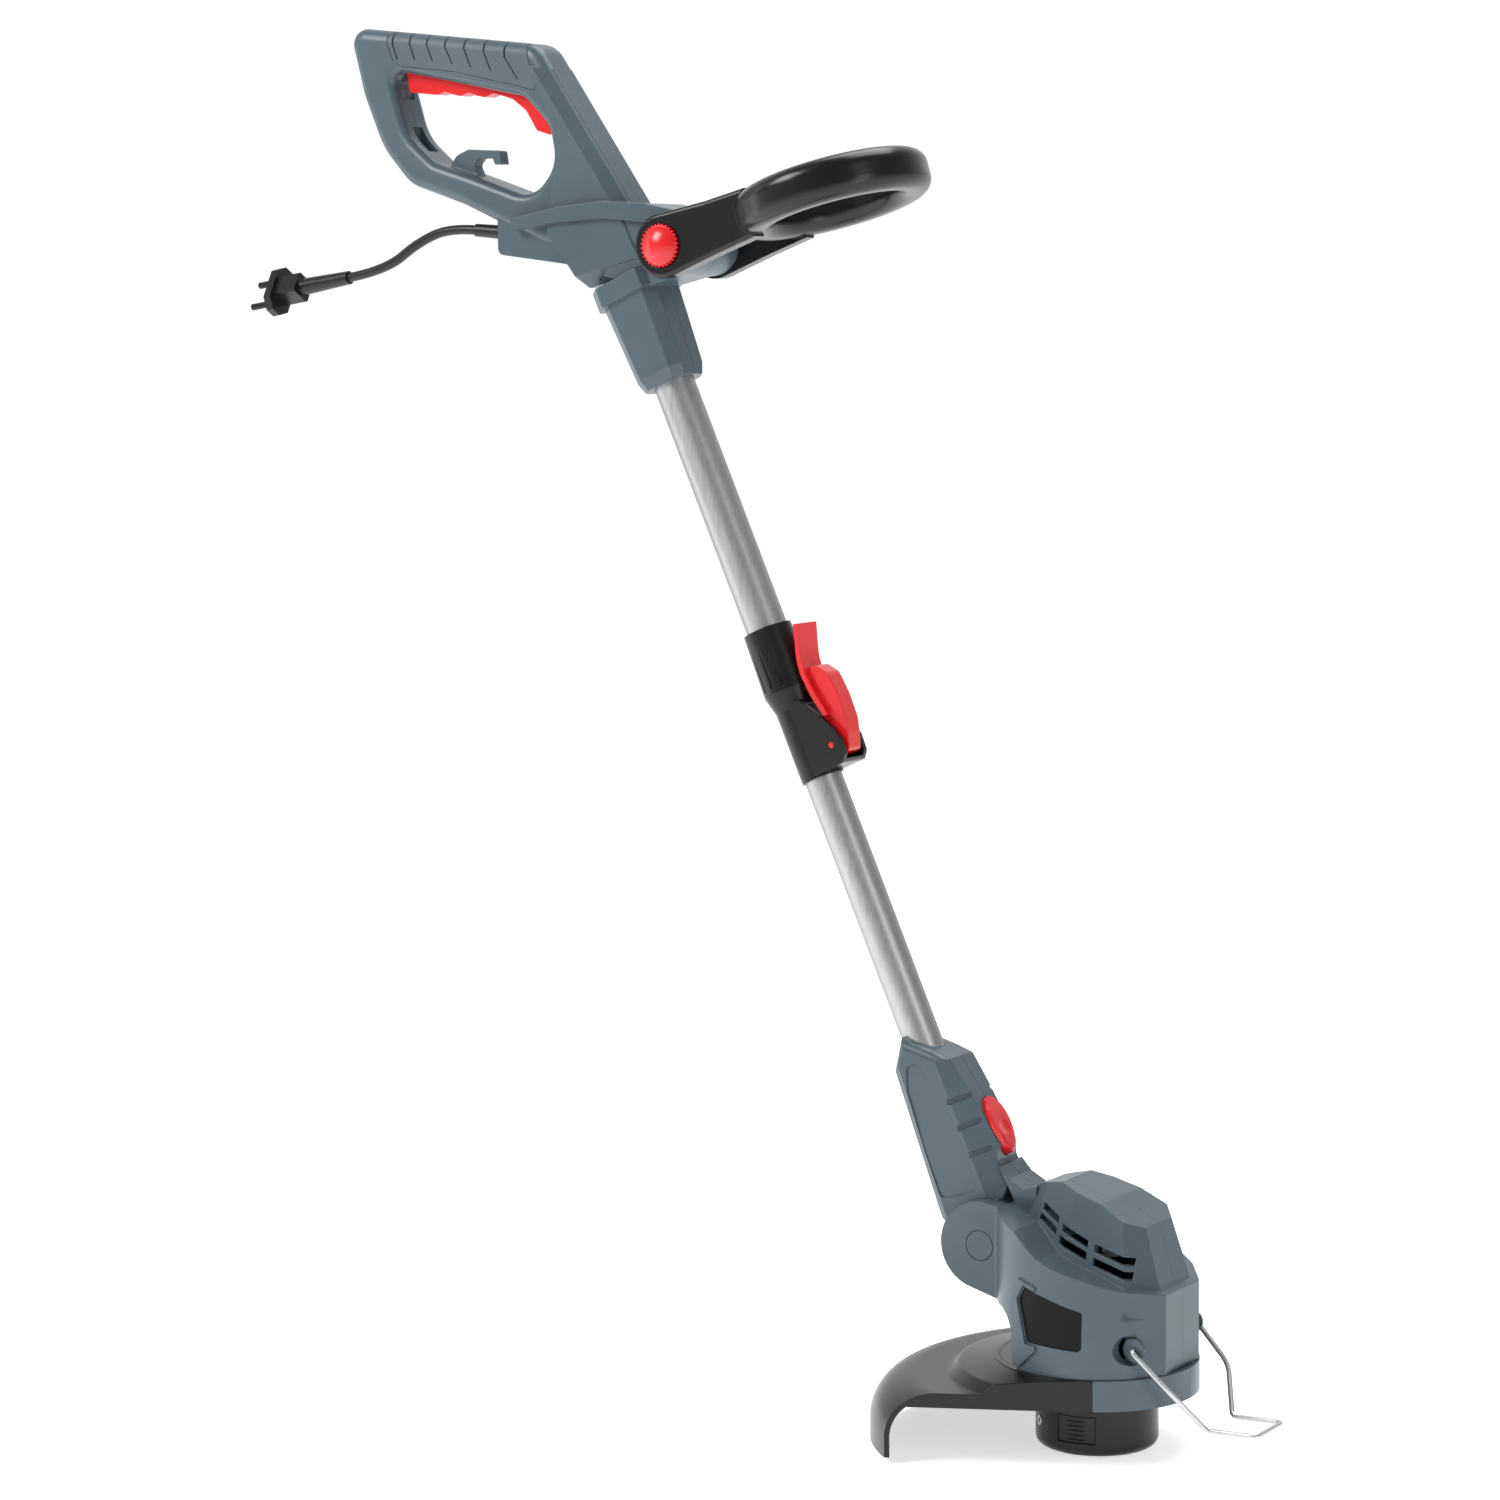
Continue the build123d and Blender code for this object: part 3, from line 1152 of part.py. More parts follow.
with BuildPart() as guard_space:
    with BuildSketch(Plane.XZ):
        Polygon((60, 55.2), (88.7, 51.2), (STEP_R - 1.5, DECK - GUARD_WALL),
                (GUARD_R - GUARD_WALL, DECK - GUARD_WALL), (GUARD_R - GUARD_WALL, 0), (60, 0), align=None)
        rounded(((GUARD_R - GUARD_WALL, DECK - GUARD_WALL),), (RIM_ROUND - GUARD_WALL,))
    revolve(axis=Axis.Z)

rib_length = 150.0
rib_lean = degrees(atan2(124.4 - 59.6, 115 + 28.4))
with BuildPart() as guard_ribs:
    for side in (-1, 1):
        start = Plane(origin=(28.4, side * 59.6, 0), x_dir=(-cos(radians(rib_lean)), side * sin(radians(rib_lean)), 0),
                      z_dir=(0, 0, 1))
        with BuildSketch(start.offset(RIB_BASE)):
            with Locations((rib_length / 2, side * GUARD_WALL / 2)):
                Rectangle(rib_length, GUARD_WALL)
        extrude(amount=30)
    add(guard_block.part, mode=Mode.INTERSECT)

with BuildPart() as guard:
    add(guard_block.part)
    add(guard_space.part, mode=Mode.SUBTRACT)
    add(guard_ribs.part)
    add(skirt_ring.part)
    with BuildSketch(Plane.XY.offset(SKIRT_TOP - 2 * PLATE_THICK)):
        Circle(SKIRT_R - 1)
        Circle(FLANGE_IN, mode=Mode.SUBTRACT)
        for angle in screw_angles:
            with Locations((54 * cos(radians(angle)), 54 * sin(radians(angle)))):
                Circle(SCREW_R, mode=Mode.SUBTRACT)
    extrude(amount=PLATE_THICK)
    with BuildSketch(Plane.XY):
        Polygon(*FRONT_SECTOR, align=None)
    extrude(amount=80, mode=Mode.SUBTRACT)
print("guard", guard.part.is_valid, len(guard.part.solids()), round(guard.part.volume))
finish(guard, "guard")

with BuildPart() as guard_screws:
    for angle in screw_angles:
        place = (54 * cos(radians(angle)), 54 * sin(radians(angle)))
        with BuildSketch(Plane.XY.offset(SKIRT_TOP - 2 * PLATE_THICK)):
            with Locations(place):
                Circle(SCREW_R)
        extrude(amount=2 * PLATE_THICK)
        with BuildSketch(Plane.XY.offset(SKIRT_TOP - 2 * PLATE_THICK)):
            with Locations(place):
                Circle(HEAD_OF_SCREW_R)
                RegularPolygon(1.4, 6, mode=Mode.SUBTRACT)
        extrude(amount=-2.6)
finish(guard_screws, "guard_screws")

with BuildPart() as line_cutter:
    blade = Plane(origin=(28.4, 59.6, 0), x_dir=(-cos(radians(rib_lean)), sin(radians(rib_lean)), 0), z_dir=(0, 0, 1))
    with BuildSketch(blade.offset(14)):
        with Locations((103, GUARD_WALL + 0.6)):
            Rectangle(18, 1.2)
    extrude(amount=27)
finish(line_cutter, "line_cutter")

# ---- edge guide wire ------------------------------------------------------------------
WIRE_HALF_PATH = ((48, 37, 77), (48, 46.5, 77), (74, 42, 52), (88, 19, 24.6), (123, 19, 25.6))
WIRE_ROUND = (3, 24, 5, 4)
near_half = [Vector(x, -y, z) for x, y, z in WIRE_HALF_PATH]
far_half = [Vector(*point) for point in reversed(WIRE_HALF_PATH)]

with BuildPart() as edge_guide_wire:
    with BuildLine() as wire_path:
        FilletPolyline(*near_half, *far_half, radius=[*WIRE_ROUND, *reversed(WIRE_ROUND)])
    with BuildSketch(Plane(origin=wire_path.line @ 0, z_dir=wire_path.line % 0)):
        Circle(WIRE_R)
    sweep(path=wire_path.line)
finish(edge_guide_wire, "edge_guide_wire")
print("wire", edge_guide_wire.part.is_valid, round(edge_guide_wire.part.volume),
      round(pi * WIRE_R ** 2 * wire_path.wires()[0].length))

# ---- line spool -----------------------------------------------------------------------
CUP_WALL = 2.5
CUP_TOP = 33.0
HUB_R = 8.0
WINDOW_ANGLE = -83.0         # first release tab's direction about Z, degrees
EYELET_ANGLE = -130.0
TAB_HALF = 12.6
TAB_BASE = 9.4
TAB_TOP = 26.6
EYELET_Z = 18.0


def outward(angle, up=0.0):
    """A plane through the spool's axis: x along the spool's radius, normal sideways."""
    turn = radians(angle)
    return Plane(origin=(0, 0, up), x_dir=(cos(turn), sin(turn), 0), z_dir=(sin(turn), -cos(turn), 0))


def facing(angle, distance, up):
    """A plane facing out from the spool's axis at a distance from it."""
    turn = radians(angle)
    out = Vector(cos(turn), sin(turn), 0)
    return Plane(origin=out * distance + Vector(0, 0, up), x_dir=(-sin(turn), cos(turn), 0), z_dir=out)


with BuildPart() as spool_cup:
    with BuildSketch(Plane.XY):
        Circle(SPOOL_R)
    extrude(amount=CUP_TOP)
    fillet(spool_cup.faces().sort_by(Axis.Z)[0].edges(), radius=6)
    with BuildSketch(Plane.XY.offset(CUP_WALL)):
        Circle(SPOOL_R - CUP_WALL)
    extrude(amount=CUP_TOP, mode=Mode.SUBTRACT)
    for angle in (WINDOW_ANGLE, WINDOW_ANGLE + 180):
        with BuildSketch(facing(angle, 34, (TAB_BASE + TAB_TOP) / 2)):
            Rectangle(2 * TAB_HALF + 2 * FIT, TAB_TOP - TAB_BASE + 2 * FIT)
        extrude(amount=8, mode=Mode.SUBTRACT)
        with BuildSketch(outward(angle)):
            Polygon((42, 8), (SPOOL_R, 5), (36.5, 0), (36.5, -1), (42, -1), align=None)
        extrude(amount=TAB_HALF, both=True, mode=Mode.SUBTRACT)
    for angle in (EYELET_ANGLE, EYELET_ANGLE + 180):
        with BuildSketch(facing(angle, 34, EYELET_Z)):
            Circle(3.4)
        extrude(amount=8, mode=Mode.SUBTRACT)
finish(spool_cup, "spool_cup")
print("cup", spool_cup.part.is_valid, len(spool_cup.part.solids()))

with BuildPart() as spool_hub:
    with BuildSketch(Plane.XY.offset(CUP_TOP)):
        Circle(SPOOL_R)
    extrude(amount=SPOOL_TOP - CUP_TOP)
    with BuildSketch(Plane.XY.offset(CUP_TOP - 3)):
        Circle(SPOOL_R - CUP_WALL)
        Circle(SPOOL_R - 2 * CUP_WALL, mode=Mode.SUBTRACT)
        Circle(HUB_R)
    extrude(amount=3)
    with BuildSketch(Plane.XY.offset(SHAFT_BASE)):
        Circle(HUB_R)
    extrude(amount=20)
    with BuildSketch(Plane.XY.offset(SHAFT_BASE)):
        Circle(SHAFT_R)
    extrude(amount=40, mode=Mode.SUBTRACT)
finish(spool_hub, "spool_hub")

REEL_IN = HUB_R + 0.5
REEL_CORE = 14.0
REEL_R = 32.0
REEL_BASE = 5.0
REEL_TOP = 28.5
with BuildPart() as line_reel:
    with BuildSketch(Plane.XY.offset(REEL_BASE)):
        Circle(REEL_R)
    extrude(amount=1.5)
    with BuildSketch(Plane.XY.offset(REEL_BASE)):
        Circle(REEL_CORE)
    extrude(amount=REEL_TOP - REEL_BASE)
    with BuildSketch(Plane.XY.offset(REEL_TOP)):
        Circle(REEL_R)
    extrude(amount=-1.5)
    with BuildSketch(Plane.XY.offset(REEL_BASE)):
        Circle(REEL_IN)
    extrude(amount=40, mode=Mode.SUBTRACT)
finish(line_reel, "line_reel")

COIL_R = 29.0
LINE_R = 0.8
with BuildPart() as cutting_line:
    with BuildSketch(Plane.XY.offset(REEL_BASE + 2)):
        Circle(COIL_R)
        Circle(REEL_CORE + 0.3, mode=Mode.SUBTRACT)
    extrude(amount=REEL_TOP - REEL_BASE - 4)
    for angle in (EYELET_ANGLE, EYELET_ANGLE + 180):
        with BuildSketch(facing(angle, COIL_R - 1, EYELET_Z)):
            Circle(LINE_R)
        extrude(amount=SPOOL_R + 1.5 - COIL_R)
finish(cutting_line, "cutting_line")

with BuildPart() as eyelets:
    for angle in (EYELET_ANGLE, EYELET_ANGLE + 180):
        with BuildSketch(facing(angle, SPOOL_R - CUP_WALL - 0.3, EYELET_Z)):
            Circle(3.4)
            Circle(1.5, mode=Mode.SUBTRACT)
        extrude(amount=3.2)
finish(eyelets, "eyelets")

with BuildPart() as reel_spring:
    with BuildLine() as coil:
        Helix(pitch=2.6, height=10, radius=5.5, center=(0, 0, 3.2))
    with BuildSketch(Plane(origin=coil.line @ 0, z_dir=coil.line % 0)):
        Circle(0.6)
    sweep(path=coil.line, is_frenet=True)
finish(reel_spring, "reel_spring")

for name, angle in (("release_tab_near", WINDOW_ANGLE), ("release_tab_far", WINDOW_ANGLE + 180)):
    with BuildPart() as tab:
        with BuildSketch(facing(angle, SPOOL_R - 5, (TAB_BASE + TAB_TOP) / 2)):
            Rectangle(2 * TAB_HALF, TAB_TOP - TAB_BASE)
        extrude(amount=8)
        with BuildSketch(Plane.XY.offset(TAB_BASE - 1)):
            Circle(SPOOL_R - 0.4)
        extrude(amount=TAB_TOP - TAB_BASE + 2, mode=Mode.INTERSECT)
        for step in range(5):
            with BuildSketch(outward(angle)):
                with Locations((SPOOL_R - 0.2, TAB_BASE + 2.6 + 3 * step)):
                    Rectangle(1.6, 1.4)
            extrude(amount=TAB_HALF - 1.5, both=True, mode=Mode.SUBTRACT)
    finish(tab, name)
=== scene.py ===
# %% [markdown]
# # A corded string trimmer
# The imported CAD model is the fixed frame. Every node arrives in metres, in its place, riding
# on the body it moves with. This lesson gives the frame its lights, its camera, its
# finishes, and the soft mains lead that is easier to shape here than in CAD.

# %% Load the frame
from math import cos, radians, sin

import bpy
from mathutils import Matrix, Vector


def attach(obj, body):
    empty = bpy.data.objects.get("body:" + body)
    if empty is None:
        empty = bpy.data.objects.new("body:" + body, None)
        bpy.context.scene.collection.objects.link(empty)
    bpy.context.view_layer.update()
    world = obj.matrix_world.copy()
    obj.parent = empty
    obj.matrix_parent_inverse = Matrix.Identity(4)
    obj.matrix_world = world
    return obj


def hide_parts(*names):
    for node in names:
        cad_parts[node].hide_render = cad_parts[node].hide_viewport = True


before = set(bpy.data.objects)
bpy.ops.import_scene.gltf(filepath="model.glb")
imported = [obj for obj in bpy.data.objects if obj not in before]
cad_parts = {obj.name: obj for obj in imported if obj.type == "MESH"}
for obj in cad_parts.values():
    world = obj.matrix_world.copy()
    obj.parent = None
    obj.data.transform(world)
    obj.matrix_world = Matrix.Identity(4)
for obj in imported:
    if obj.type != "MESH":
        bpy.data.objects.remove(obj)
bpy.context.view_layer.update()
MM = 0.001

# %% [markdown]
# ## Camera
# A catalogue picture is taken from some way off with a long lens, so near and far parts
# keep nearly the same scale. The camera is given by where it stands, and by the azimuth and
# elevation it looks along. A small roll levels the object in the frame.

# %% Place the camera
CAMERA_PLACE = Vector((1.14559, -2.21235, 0.72515))
AZIMUTH = radians(32.5)
ELEVATION = radians(6.2)
ROLL = radians(0.5)
LENS_MM = 93.6
SENSOR_MM = 36
FARTHEST_SEEN = 30

right = Vector((cos(AZIMUTH), sin(AZIMUTH), 0))
up = Vector((-sin(AZIMUTH) * sin(ELEVATION), cos(AZIMUTH) * sin(ELEVATION), cos(ELEVATION)))
back = Vector((sin(AZIMUTH) * cos(ELEVATION), -cos(AZIMUTH) * cos(ELEVATION), sin(ELEVATION)))
rolled_right = right * cos(ROLL) - up * sin(ROLL)
rolled_up = right * sin(ROLL) + up * cos(ROLL)
turned = Matrix((rolled_right, rolled_up, back)).transposed()

lens = bpy.data.cameras.new("studio_camera")
lens.lens = LENS_MM
lens.sensor_width = SENSOR_MM
lens.clip_end = FARTHEST_SEEN
camera = bpy.data.objects.new("studio_camera", lens)
bpy.context.scene.collection.objects.link(camera)
camera.matrix_world = Matrix.Translation(CAMERA_PLACE) @ turned.to_4x4()
bpy.context.scene.camera = camera
print("camera stands", round(CAMERA_PLACE.length, 2), "m from the spool")

# %% [markdown]
# ## Colours and nodes
# Paint charts and colour pickers give sRGB hex values, but a shader works in linear light,
# so one function turns one into the other. One more adds a node, sets it and links it.

# %% Two small helpers for materials
def linear(hex_colour):
    """A shader colour from an sRGB hex value."""
    channels = [int(hex_colour[i:i + 2], 16) / 255 for i in (1, 3, 5)]
    bent = [c / 12.92 if c <= 0.04045 else ((c + 0.055) / 1.055) ** 2.4 for c in channels]
    return (*bent, 1.0)


def add_node(material, kind, settings=None, values=None, links=None):
    """Adds one node, with its settings, its plain socket values and what feeds its sockets."""
    tree = material.node_tree
    node = tree.nodes.new(kind)
    for name, value in (settings or {}).items():
        setattr(node, name, value)
    for name, value in (values or {}).items():
        node.inputs[name].default_value = value
    for name, source in (links or {}).items():
        tree.links.new(source, node.inputs[name])
    return node


def new_finish(name):
    """An empty material with its shader and its output."""
    material = bpy.data.materials.new(name)
    material.use_nodes = True
    material.node_tree.nodes.clear()
    shader = add_node(material, "ShaderNodeBsdfPrincipled")
    add_node(material, "ShaderNodeOutputMaterial", links={"Surface": shader.outputs[0]})
    return material, shader


def colour_steps(node, steps):
    """Sets a ramp's colours: (position, hex) pairs."""
    ramp = node.color_ramp
    for element, (position, colour) in zip(ramp.elements, (steps[0], steps[-1])):
        element.position = position
        element.color = linear(colour)
    for position, colour in steps[1:-1]:
        ramp.elements.new(position).color = linear(colour)


# %% [markdown]
# ## The mains lead
# A short PVC lead leaves the handle's strain relief and ends in a moulded two-pin plug. It
# is stiff and only about 12 cm long, so it holds its own curve in the air. A NURBS curve led
# by the route's points gives one smooth line, where a chain of arcs would look bent. Its
# thickness comes from the radius of its points, so its box stays as tight as the lead.

# %% Draw the lead
CORD_DIAMETER = 6.8 * MM
STEPS_ROUND = 6                  # steps in each quarter of the round section
STEPS_ALONG = 16                 # steps between two points of the route
CORD_ROUTE = (
    (-0.48589, 0.0, 0.79343), (-0.509, 0.0, 0.79545), (-0.537, 0.0, 0.786),
    (-0.566, 0.0, 0.767), (-0.599, 0.0, 0.7622),
)
cord_curve = bpy.data.curves.new("mains_lead", "CURVE")
cord_curve.dimensions = "3D"
spline = cord_curve.splines.new("NURBS")
spline.points.add(len(CORD_ROUTE) - 1)
for point, place in zip(spline.points, CORD_ROUTE):
    point.co = (*place, 1)
    point.radius = CORD_DIAMETER / 2
spline.order_u = 3
spline.use_endpoint_u = True
cord_length = spline.calc_length()
cord_curve.bevel_depth = 1.0     # times the radius of each point
cord_curve.bevel_resolution = STEPS_ROUND
cord_curve.resolution_u = STEPS_ALONG
cord_curve.use_fill_caps = True
mains_lead = bpy.data.objects.new("mains_lead", cord_curve)
bpy.context.scene.collection.objects.link(mains_lead)
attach(mains_lead, "rear_handle")
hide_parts("mains_cord")
print("lead is", round(cord_length * 1000), "mm long")

# %% [markdown]
# ## Studio light
# A catalogue page shows its object on pure white, yet the object keeps dark and light sides.
# A studio gets both by lighting a white wall behind the object and keeping the side where the
# camera stands darker. Soft lamps model the shape: the key lamp high on the left, a weak fill
# lamp on the right, a wide one above, and a strip for streaks on the tubes. The standard view
# transform shows the white wall as white.

# %% Build the lamps
bpy.context.scene.view_settings.view_transform = "Standard"


def softbox(name, place, target, width, height, power):
    """A rectangular lamp at a place, facing a target."""
    lamp = bpy.data.lights.new(name, "AREA")
    lamp.shape = "RECTANGLE"
    lamp.size = width
    lamp.size_y = height
    lamp.energy = power
    holder = bpy.data.objects.new(name, lamp)
    bpy.context.scene.collection.objects.link(holder)
    holder.matrix_world = (
        Matrix.Translation(place)
        @ (Vector(target) - Vector(place)).to_track_quat("-Z", "Y").to_matrix().to_4x4()
    )


MIDDLE = (-0.2, 0.0, 0.45)
LAMPS = (                        # name, place, width and height in metres, watts
    ("key_lamp", (-1.3, -1.5, 1.9), 1.0, 1.0, 36),
    ("fill_lamp", (2.0, -0.9, 0.9), 0.7, 1.8, 9),
    ("top_lamp", (0.0, 0.5, 2.4), 1.6, 1.2, 30),
    ("left_strip", (-1.7, -0.5, 0.6), 0.25, 1.8, 2.5),
)
for name, place, width, height, power in LAMPS:
    softbox(name, place, MIDDLE, width, height, power)
print("lamps", [lamp[0] for lamp in LAMPS])

# %% [markdown]
# ## The white wall
# The world stands in for the wall and the room: its brightness follows the direction, white
# behind the object and grey in front of it, with a soft change between. No panel has to
# stand in the scene, and every reflection in plastic and metal gets a light and a dark side.

# %% Light the wall behind the object
WALL_WHITE = 1.05
ROOM_GREY = 0.30
ALL_GREY = 0.1                   # grey where a direction's cosine to the wall is lower
ALL_WHITE = 0.92                 # white where it is higher

world = bpy.data.worlds.new("white_wall_and_grey_room")
bpy.context.scene.world = world
world.use_nodes = True
sky = world.node_tree
background = sky.nodes["Background"]
direction = sky.nodes.new("ShaderNodeTexCoord")
towards_wall = sky.nodes.new("ShaderNodeVectorMath")
towards_wall.operation = "DOT_PRODUCT"
towards_wall.inputs[1].default_value = (-sin(AZIMUTH), cos(AZIMUTH), 0.0)
brightness = sky.nodes.new("ShaderNodeMapRange")
brightness.interpolation_type = "SMOOTHSTEP"
brightness.inputs["From Min"].default_value = ALL_GREY
brightness.inputs["From Max"].default_value = ALL_WHITE
brightness.inputs["To Min"].default_value = ROOM_GREY
brightness.inputs["To Max"].default_value = WALL_WHITE
sky.links.new(direction.outputs["Generated"], towards_wall.inputs[0])
sky.links.new(towards_wall.outputs["Value"], brightness.inputs["Value"])
sky.links.new(brightness.outputs["Result"], background.inputs["Strength"])
background.inputs["Color"].default_value = linear("#ffffff")
print("wall", WALL_WHITE, "and room", ROOM_GREY)

# %% [markdown]
# ## The floor
# A catalogue's floor is paper or matt paint that runs on without an edge. It is a wide plane
# here, half a millimetre below the object. It glows a little, so that it comes out as white
# as the wall and only the contact shadow is left.

# %% Lay the floor
FLOOR_SIDE = 40
FLOOR_GAP = 0.5 * MM
FLOOR_GLOW = 0.62

bpy.ops.object.select_all(action="DESELECT")
bpy.ops.mesh.primitive_plane_add(size=FLOOR_SIDE, location=(0, 0, -FLOOR_GAP))
floor = bpy.context.object
floor.name = "studio_floor"
floor_finish, floor_shader = new_finish("matt_white_floor_paint")
floor_shader.inputs["Roughness"].default_value = 0.9
floor_shader.inputs["Emission Color"].default_value = linear("#ffffff")
floor_shader.inputs["Emission Strength"].default_value = FLOOR_GLOW
floor_grain = add_node(floor_finish, "ShaderNodeTexNoise",
                       values={"Scale": 3.0, "Detail": 2.0})
floor_ramp = add_node(floor_finish, "ShaderNodeValToRGB",
                      links={"Fac": floor_grain.outputs["Fac"]})
colour_steps(floor_ramp, ((0.3, "#f8f8f8"), (0.7, "#fbfbfb")))
floor_finish.node_tree.links.new(floor_ramp.outputs["Color"], floor_shader.inputs["Base Color"])
floor.data.materials.append(floor_finish)
print("floor", FLOOR_SIDE, "m square")

# %% [markdown]
# ## Moulded plastics
# Most of the trimmer is injection-moulded ABS. The steel mould is spark eroded, which leaves
# a fine grain on the plastic, and the two halves of each shell meet at a thin parting line
# in the middle plane. The shade in the gap between the halves is painted as a thin dark line.
# Mould edges are never sharp, so a bevel in the shading normal gives every edge a small
# highlight. The real grain is about 0.5 mm, drawn coarser here to show.

# %% Moulded plastic finishes
GRAIN = 1 / (0.9 * MM)           # noise scale for grains about 0.9 mm apart
MOTTLE = 1 / (60 * MM)           # slow change of colour over the moulding
EDGE_ROUND = 1.0 * MM
GRAIN_HEIGHT = 0.05 * MM
# painted shade: a dark line along the middle plane stands in for the shade in the gap where the
# shell halves meet
SEAM_HALF = 0.22 * MM
SEAM_SHADE_COLOUR = "#20282c"
PLASTIC_IOR = 1.5
COAT_ROUGHNESS = 0.12


def moulded(name, dark, base, light, roughness, spread, grain_depth, coat=0.0, seam_shade=False,
            edge_round=EDGE_ROUND, specular=0.5, ior=PLASTIC_IOR):
    """A moulded plastic: a mottled colour, an uneven gloss, a grain and soft edges."""
    material, shader = new_finish(name)
    links = material.node_tree.links
    place = add_node(material, "ShaderNodeTexCoord").outputs["Object"]
    mottle = add_node(material, "ShaderNodeTexNoise", values={"Scale": MOTTLE, "Detail": 3.0},
                      links={"Vector": place})
    colour = add_node(material, "ShaderNodeValToRGB", links={"Fac": mottle.outputs["Fac"]})
    colour_steps(colour, ((0.3, dark), (0.5, base), (0.72, light)))
    grain = add_node(material, "ShaderNodeTexNoise", values={"Scale": GRAIN, "Detail": 2.0},
                     links={"Vector": place})
    gloss = add_node(material, "ShaderNodeMapRange", links={"Value": grain.outputs["Fac"]},
                     values={"To Min": roughness - spread, "To Max": roughness + spread})
    soft_edge = add_node(material, "ShaderNodeBevel", {"samples": 6}, {"Radius": edge_round})
    paint = colour.outputs["Color"]
    # painted shade: the colour turns dark within the seam's half width of the middle plane
    if seam_shade:
        parts = add_node(material, "ShaderNodeSeparateXYZ", links={"Vector": place})
        away = add_node(material, "ShaderNodeMath", {"operation": "ABSOLUTE"},
                        links={0: parts.outputs["Y"]})
        seam_shade_mask = add_node(material, "ShaderNodeMapRange", links={"Value": away.outputs[0]},
                          values={"From Min": SEAM_HALF * 0.6, "From Max": SEAM_HALF * 1.6,
                                  "To Min": 1.0, "To Max": 0.0})
        shade = add_node(material, "ShaderNodeMix", {"data_type": "RGBA"},
                         links={"Factor": seam_shade_mask.outputs[0], "A": paint})
        shade.inputs["B"].default_value = linear(SEAM_SHADE_COLOUR)
        paint = shade.outputs["Result"]
    bump = add_node(material, "ShaderNodeBump",
                    values={"Strength": grain_depth, "Distance": GRAIN_HEIGHT},
                    links={"Height": grain.outputs["Fac"], "Normal": soft_edge.outputs[0]})
    links.new(paint, shader.inputs["Base Color"])
    links.new(gloss.outputs[0], shader.inputs["Roughness"])
    links.new(bump.outputs[0], shader.inputs["Normal"])
    shader.inputs["IOR"].default_value = ior
    shader.inputs["Specular IOR Level"].default_value = specular
    shader.inputs["Coat Weight"].default_value = coat
    shader.inputs["Coat Roughness"].default_value = COAT_ROUGHNESS
    return material


GREY = ("#404f57", "#45545c", "#4a5961")
grey_abs = moulded("spark_grained_grey_abs", *GREY, 0.34, 0.05, 0.25, seam_shade=True)
grey_plain = moulded("grey_abs_insert", *GREY, 0.34, 0.05, 0.25)
black_pp = moulded("semi_gloss_black_polypropylene", "#0e0e0e", "#121212", "#161616",
                   0.3, 0.04, 0.15, specular=0.32)
gloss_black = moulded("polished_black_abs", "#0b0b0b", "#0e0e0e", "#111111",
                      0.26, 0.03, 0.08, coat=0.05, specular=0.4)
red_abs = moulded("polished_red_abs", "#ca1218", "#d2171b", "#d91d20",
                  0.26, 0.03, 0.04, coat=0.1)
grip_grey = moulded("grey_thermoplastic_elastomer", "#3f4d55", "#445259", "#48575e",
                    0.5, 0.05, 0.5)
pvc = moulded("semi_gloss_black_pvc", "#0d0d0d", "#101010", "#131313",
              0.34, 0.03, 0.02, edge_round=0.3 * MM, specular=0.4)
badge_black = moulded("satin_black_badge_film", "#020202", "#030303", "#050505",
                      0.5, 0.03, 0.05, ior=1.3)
film_yellow = moulded("dipped_yellow_epoxy", "#c89410", "#d29c14", "#dba61c", 0.3, 0.03, 0.05)
ferrite = moulded("sintered_dark_ferrite", "#2a2a2b", "#303031", "#38383a", 0.6, 0.06, 0.6)
nylon = moulded("green_drawn_nylon", "#8ea31c", "#98ad22", "#a4b92c", 0.35, 0.04, 0.1)
plastics = (grey_abs, grey_plain, black_pp, gloss_black, red_abs, grip_grey, pvc, badge_black,
            film_yellow, ferrite, nylon)
print("moulded finishes", [finish.name for finish in plastics])

# %% [markdown]
# ## Metals
# The shaft is drawn aluminium tube: the die leaves fine straight lines along it. The pattern
# is turned with the shaft's lean, and is long along it and short across. Satin metal doesn't
# reach pure white at its far edges, so a rim colour holds them back and the tube stands out
# against the white wall. Small steel parts are bright zinc plated.

# %% Metal finishes
SHAFT_LEAN = radians(23.9)
DRAW_LINE = 1 / (1.2 * MM)
LINE_STRETCH = 0.01              # lines are a hundred times as long as wide
LINE_HEIGHT = 0.02 * MM
METAL_EDGE = 0.3 * MM


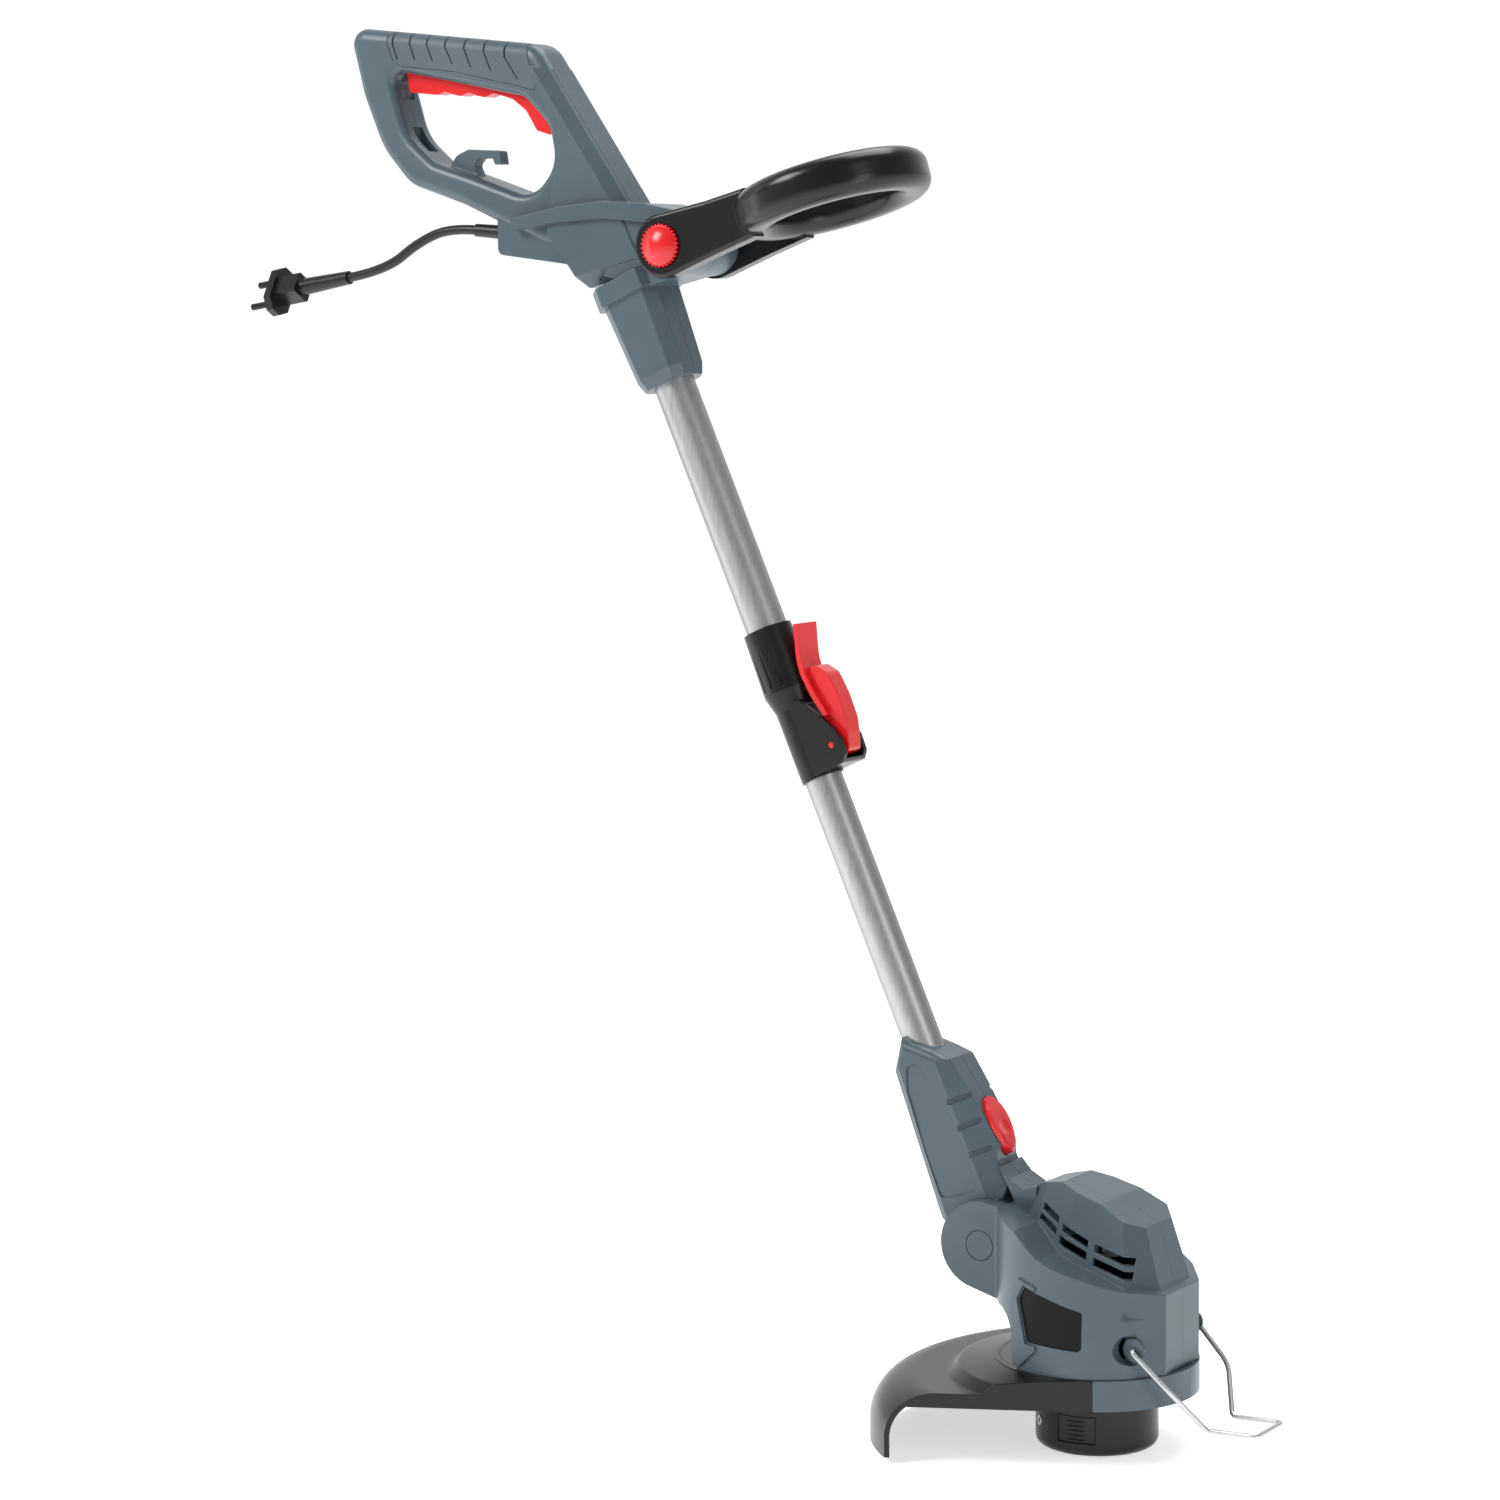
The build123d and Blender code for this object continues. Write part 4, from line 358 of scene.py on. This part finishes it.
def metal(name, dark, light, roughness, spread, lean=None, rim="#ffffff"):
    """A metal whose fine lines or spots change its colour and gloss. rim tints far edges."""
    material, shader = new_finish(name)
    links = material.node_tree.links
    place = add_node(material, "ShaderNodeTexCoord").outputs["Object"]
    if lean is not None:
        turn = add_node(material, "ShaderNodeMapping", links={"Vector": place},
                        values={"Rotation": (0, lean, 0), "Scale": (1, 1, LINE_STRETCH)})
        place = turn.outputs[0]
    lines = add_node(material, "ShaderNodeTexNoise", values={"Scale": DRAW_LINE, "Detail": 3.0},
                     links={"Vector": place})
    colour = add_node(material, "ShaderNodeValToRGB", links={"Fac": lines.outputs["Fac"]})
    colour_steps(colour, ((0.3, dark), (0.7, light)))
    gloss = add_node(material, "ShaderNodeMapRange", links={"Value": lines.outputs["Fac"]},
                     values={"To Min": roughness - spread, "To Max": roughness + spread})
    soft_edge = add_node(material, "ShaderNodeBevel", {"samples": 4}, {"Radius": METAL_EDGE})
    bump = add_node(material, "ShaderNodeBump",
                    values={"Strength": 0.15, "Distance": LINE_HEIGHT},
                    links={"Height": lines.outputs["Fac"], "Normal": soft_edge.outputs[0]})
    links.new(colour.outputs["Color"], shader.inputs["Base Color"])
    links.new(gloss.outputs[0], shader.inputs["Roughness"])
    links.new(bump.outputs[0], shader.inputs["Normal"])
    shader.inputs["Metallic"].default_value = 1.0
    shader.inputs["Specular Tint"].default_value = linear(rim)
    return material


drawn_aluminium = metal("drawn_satin_aluminium", "#adaeaf", "#bcbdbd", 0.4, 0.05,
                        lean=SHAFT_LEAN, rim="#b4b4b4")
zinc_steel = metal("zinc_plated_steel", "#a9acb0", "#c3c6c9", 0.28, 0.06)
bright_wire = metal("bright_drawn_steel_wire", "#b9babb", "#cfd0d1", 0.42, 0.05)
# painted shade: the motor can and armature get a dark colour so the view through the vents shows
# the shade inside the head
vent_shade_dark_steel = metal("dark_steel_painted_vent_shade", "#1c1c1e", "#262628", 0.45, 0.05)
nickel = metal("black_nickel_plated_brass", "#2c2c2d", "#3a3a3b", 0.3, 0.04)
metals = (drawn_aluminium, zinc_steel, bright_wire, vent_shade_dark_steel, nickel)
print("metal finishes", [finish.name for finish in metals])

# %% [markdown]
# ## Finishes on the frame
# The CAD nodes keep their meshes. Each one only swaps the material in its slot for the
# finish of the real piece.

# %% Give each node its finish
FINISHES = {
    grey_abs: ("handle_right", "handle_left", "neck_right", "neck_left", "head_right",
               "head_left", "head_skirt"),
    grey_plain: ("pivot_caps", "rating_plate", "wire_clips"),
    black_pp: ("guard", "spool_cup", "spool_hub", "release_tab_near", "release_tab_far",
               "lock_collar", "base_plate", "line_reel", "trigger_switch", "cable_clamp",
               "cooling_fan", "tilt_latch"),
    gloss_black: ("loop_handle",),
    red_abs: ("trigger", "lock_lever", "lock_knob", "tilt_button"),
    grip_grey: ("grip_pad",),
    pvc: ("strain_relief", "plug_body", "head_lead", "coiled_lead", "supply_wires", "mains_cord"),
    badge_black: ("badge_right", "badge_left"),
    film_yellow: ("suppression_capacitor",),
    ferrite: ("motor_magnet", "motor_brushes"),
    nylon: ("cutting_line",),
    drawn_aluminium: ("upper_tube", "lower_tube"),
    bright_wire: ("edge_guide_wire",),
    zinc_steel: ("handle_screws", "neck_screws", "head_screws", "guard_screws", "clamp_bolt",
                 "clamp_nut", "tilt_pin", "line_cutter", "motor_shaft",
                 "upper_bearing", "lower_bearing", "reel_spring", "button_spring", "eyelets"),
    vent_shade_dark_steel: ("motor_can", "armature"),
    nickel: ("plug_pins",),
}
finished = set()
for finish, names in FINISHES.items():
    for name in names:
        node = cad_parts[name]
        for slot in node.material_slots:
            slot.link = "OBJECT"
            slot.material = finish
        finished.add(name)
mains_lead.data.materials.append(pvc)
print("nodes without a finish:", sorted(set(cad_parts) - finished))
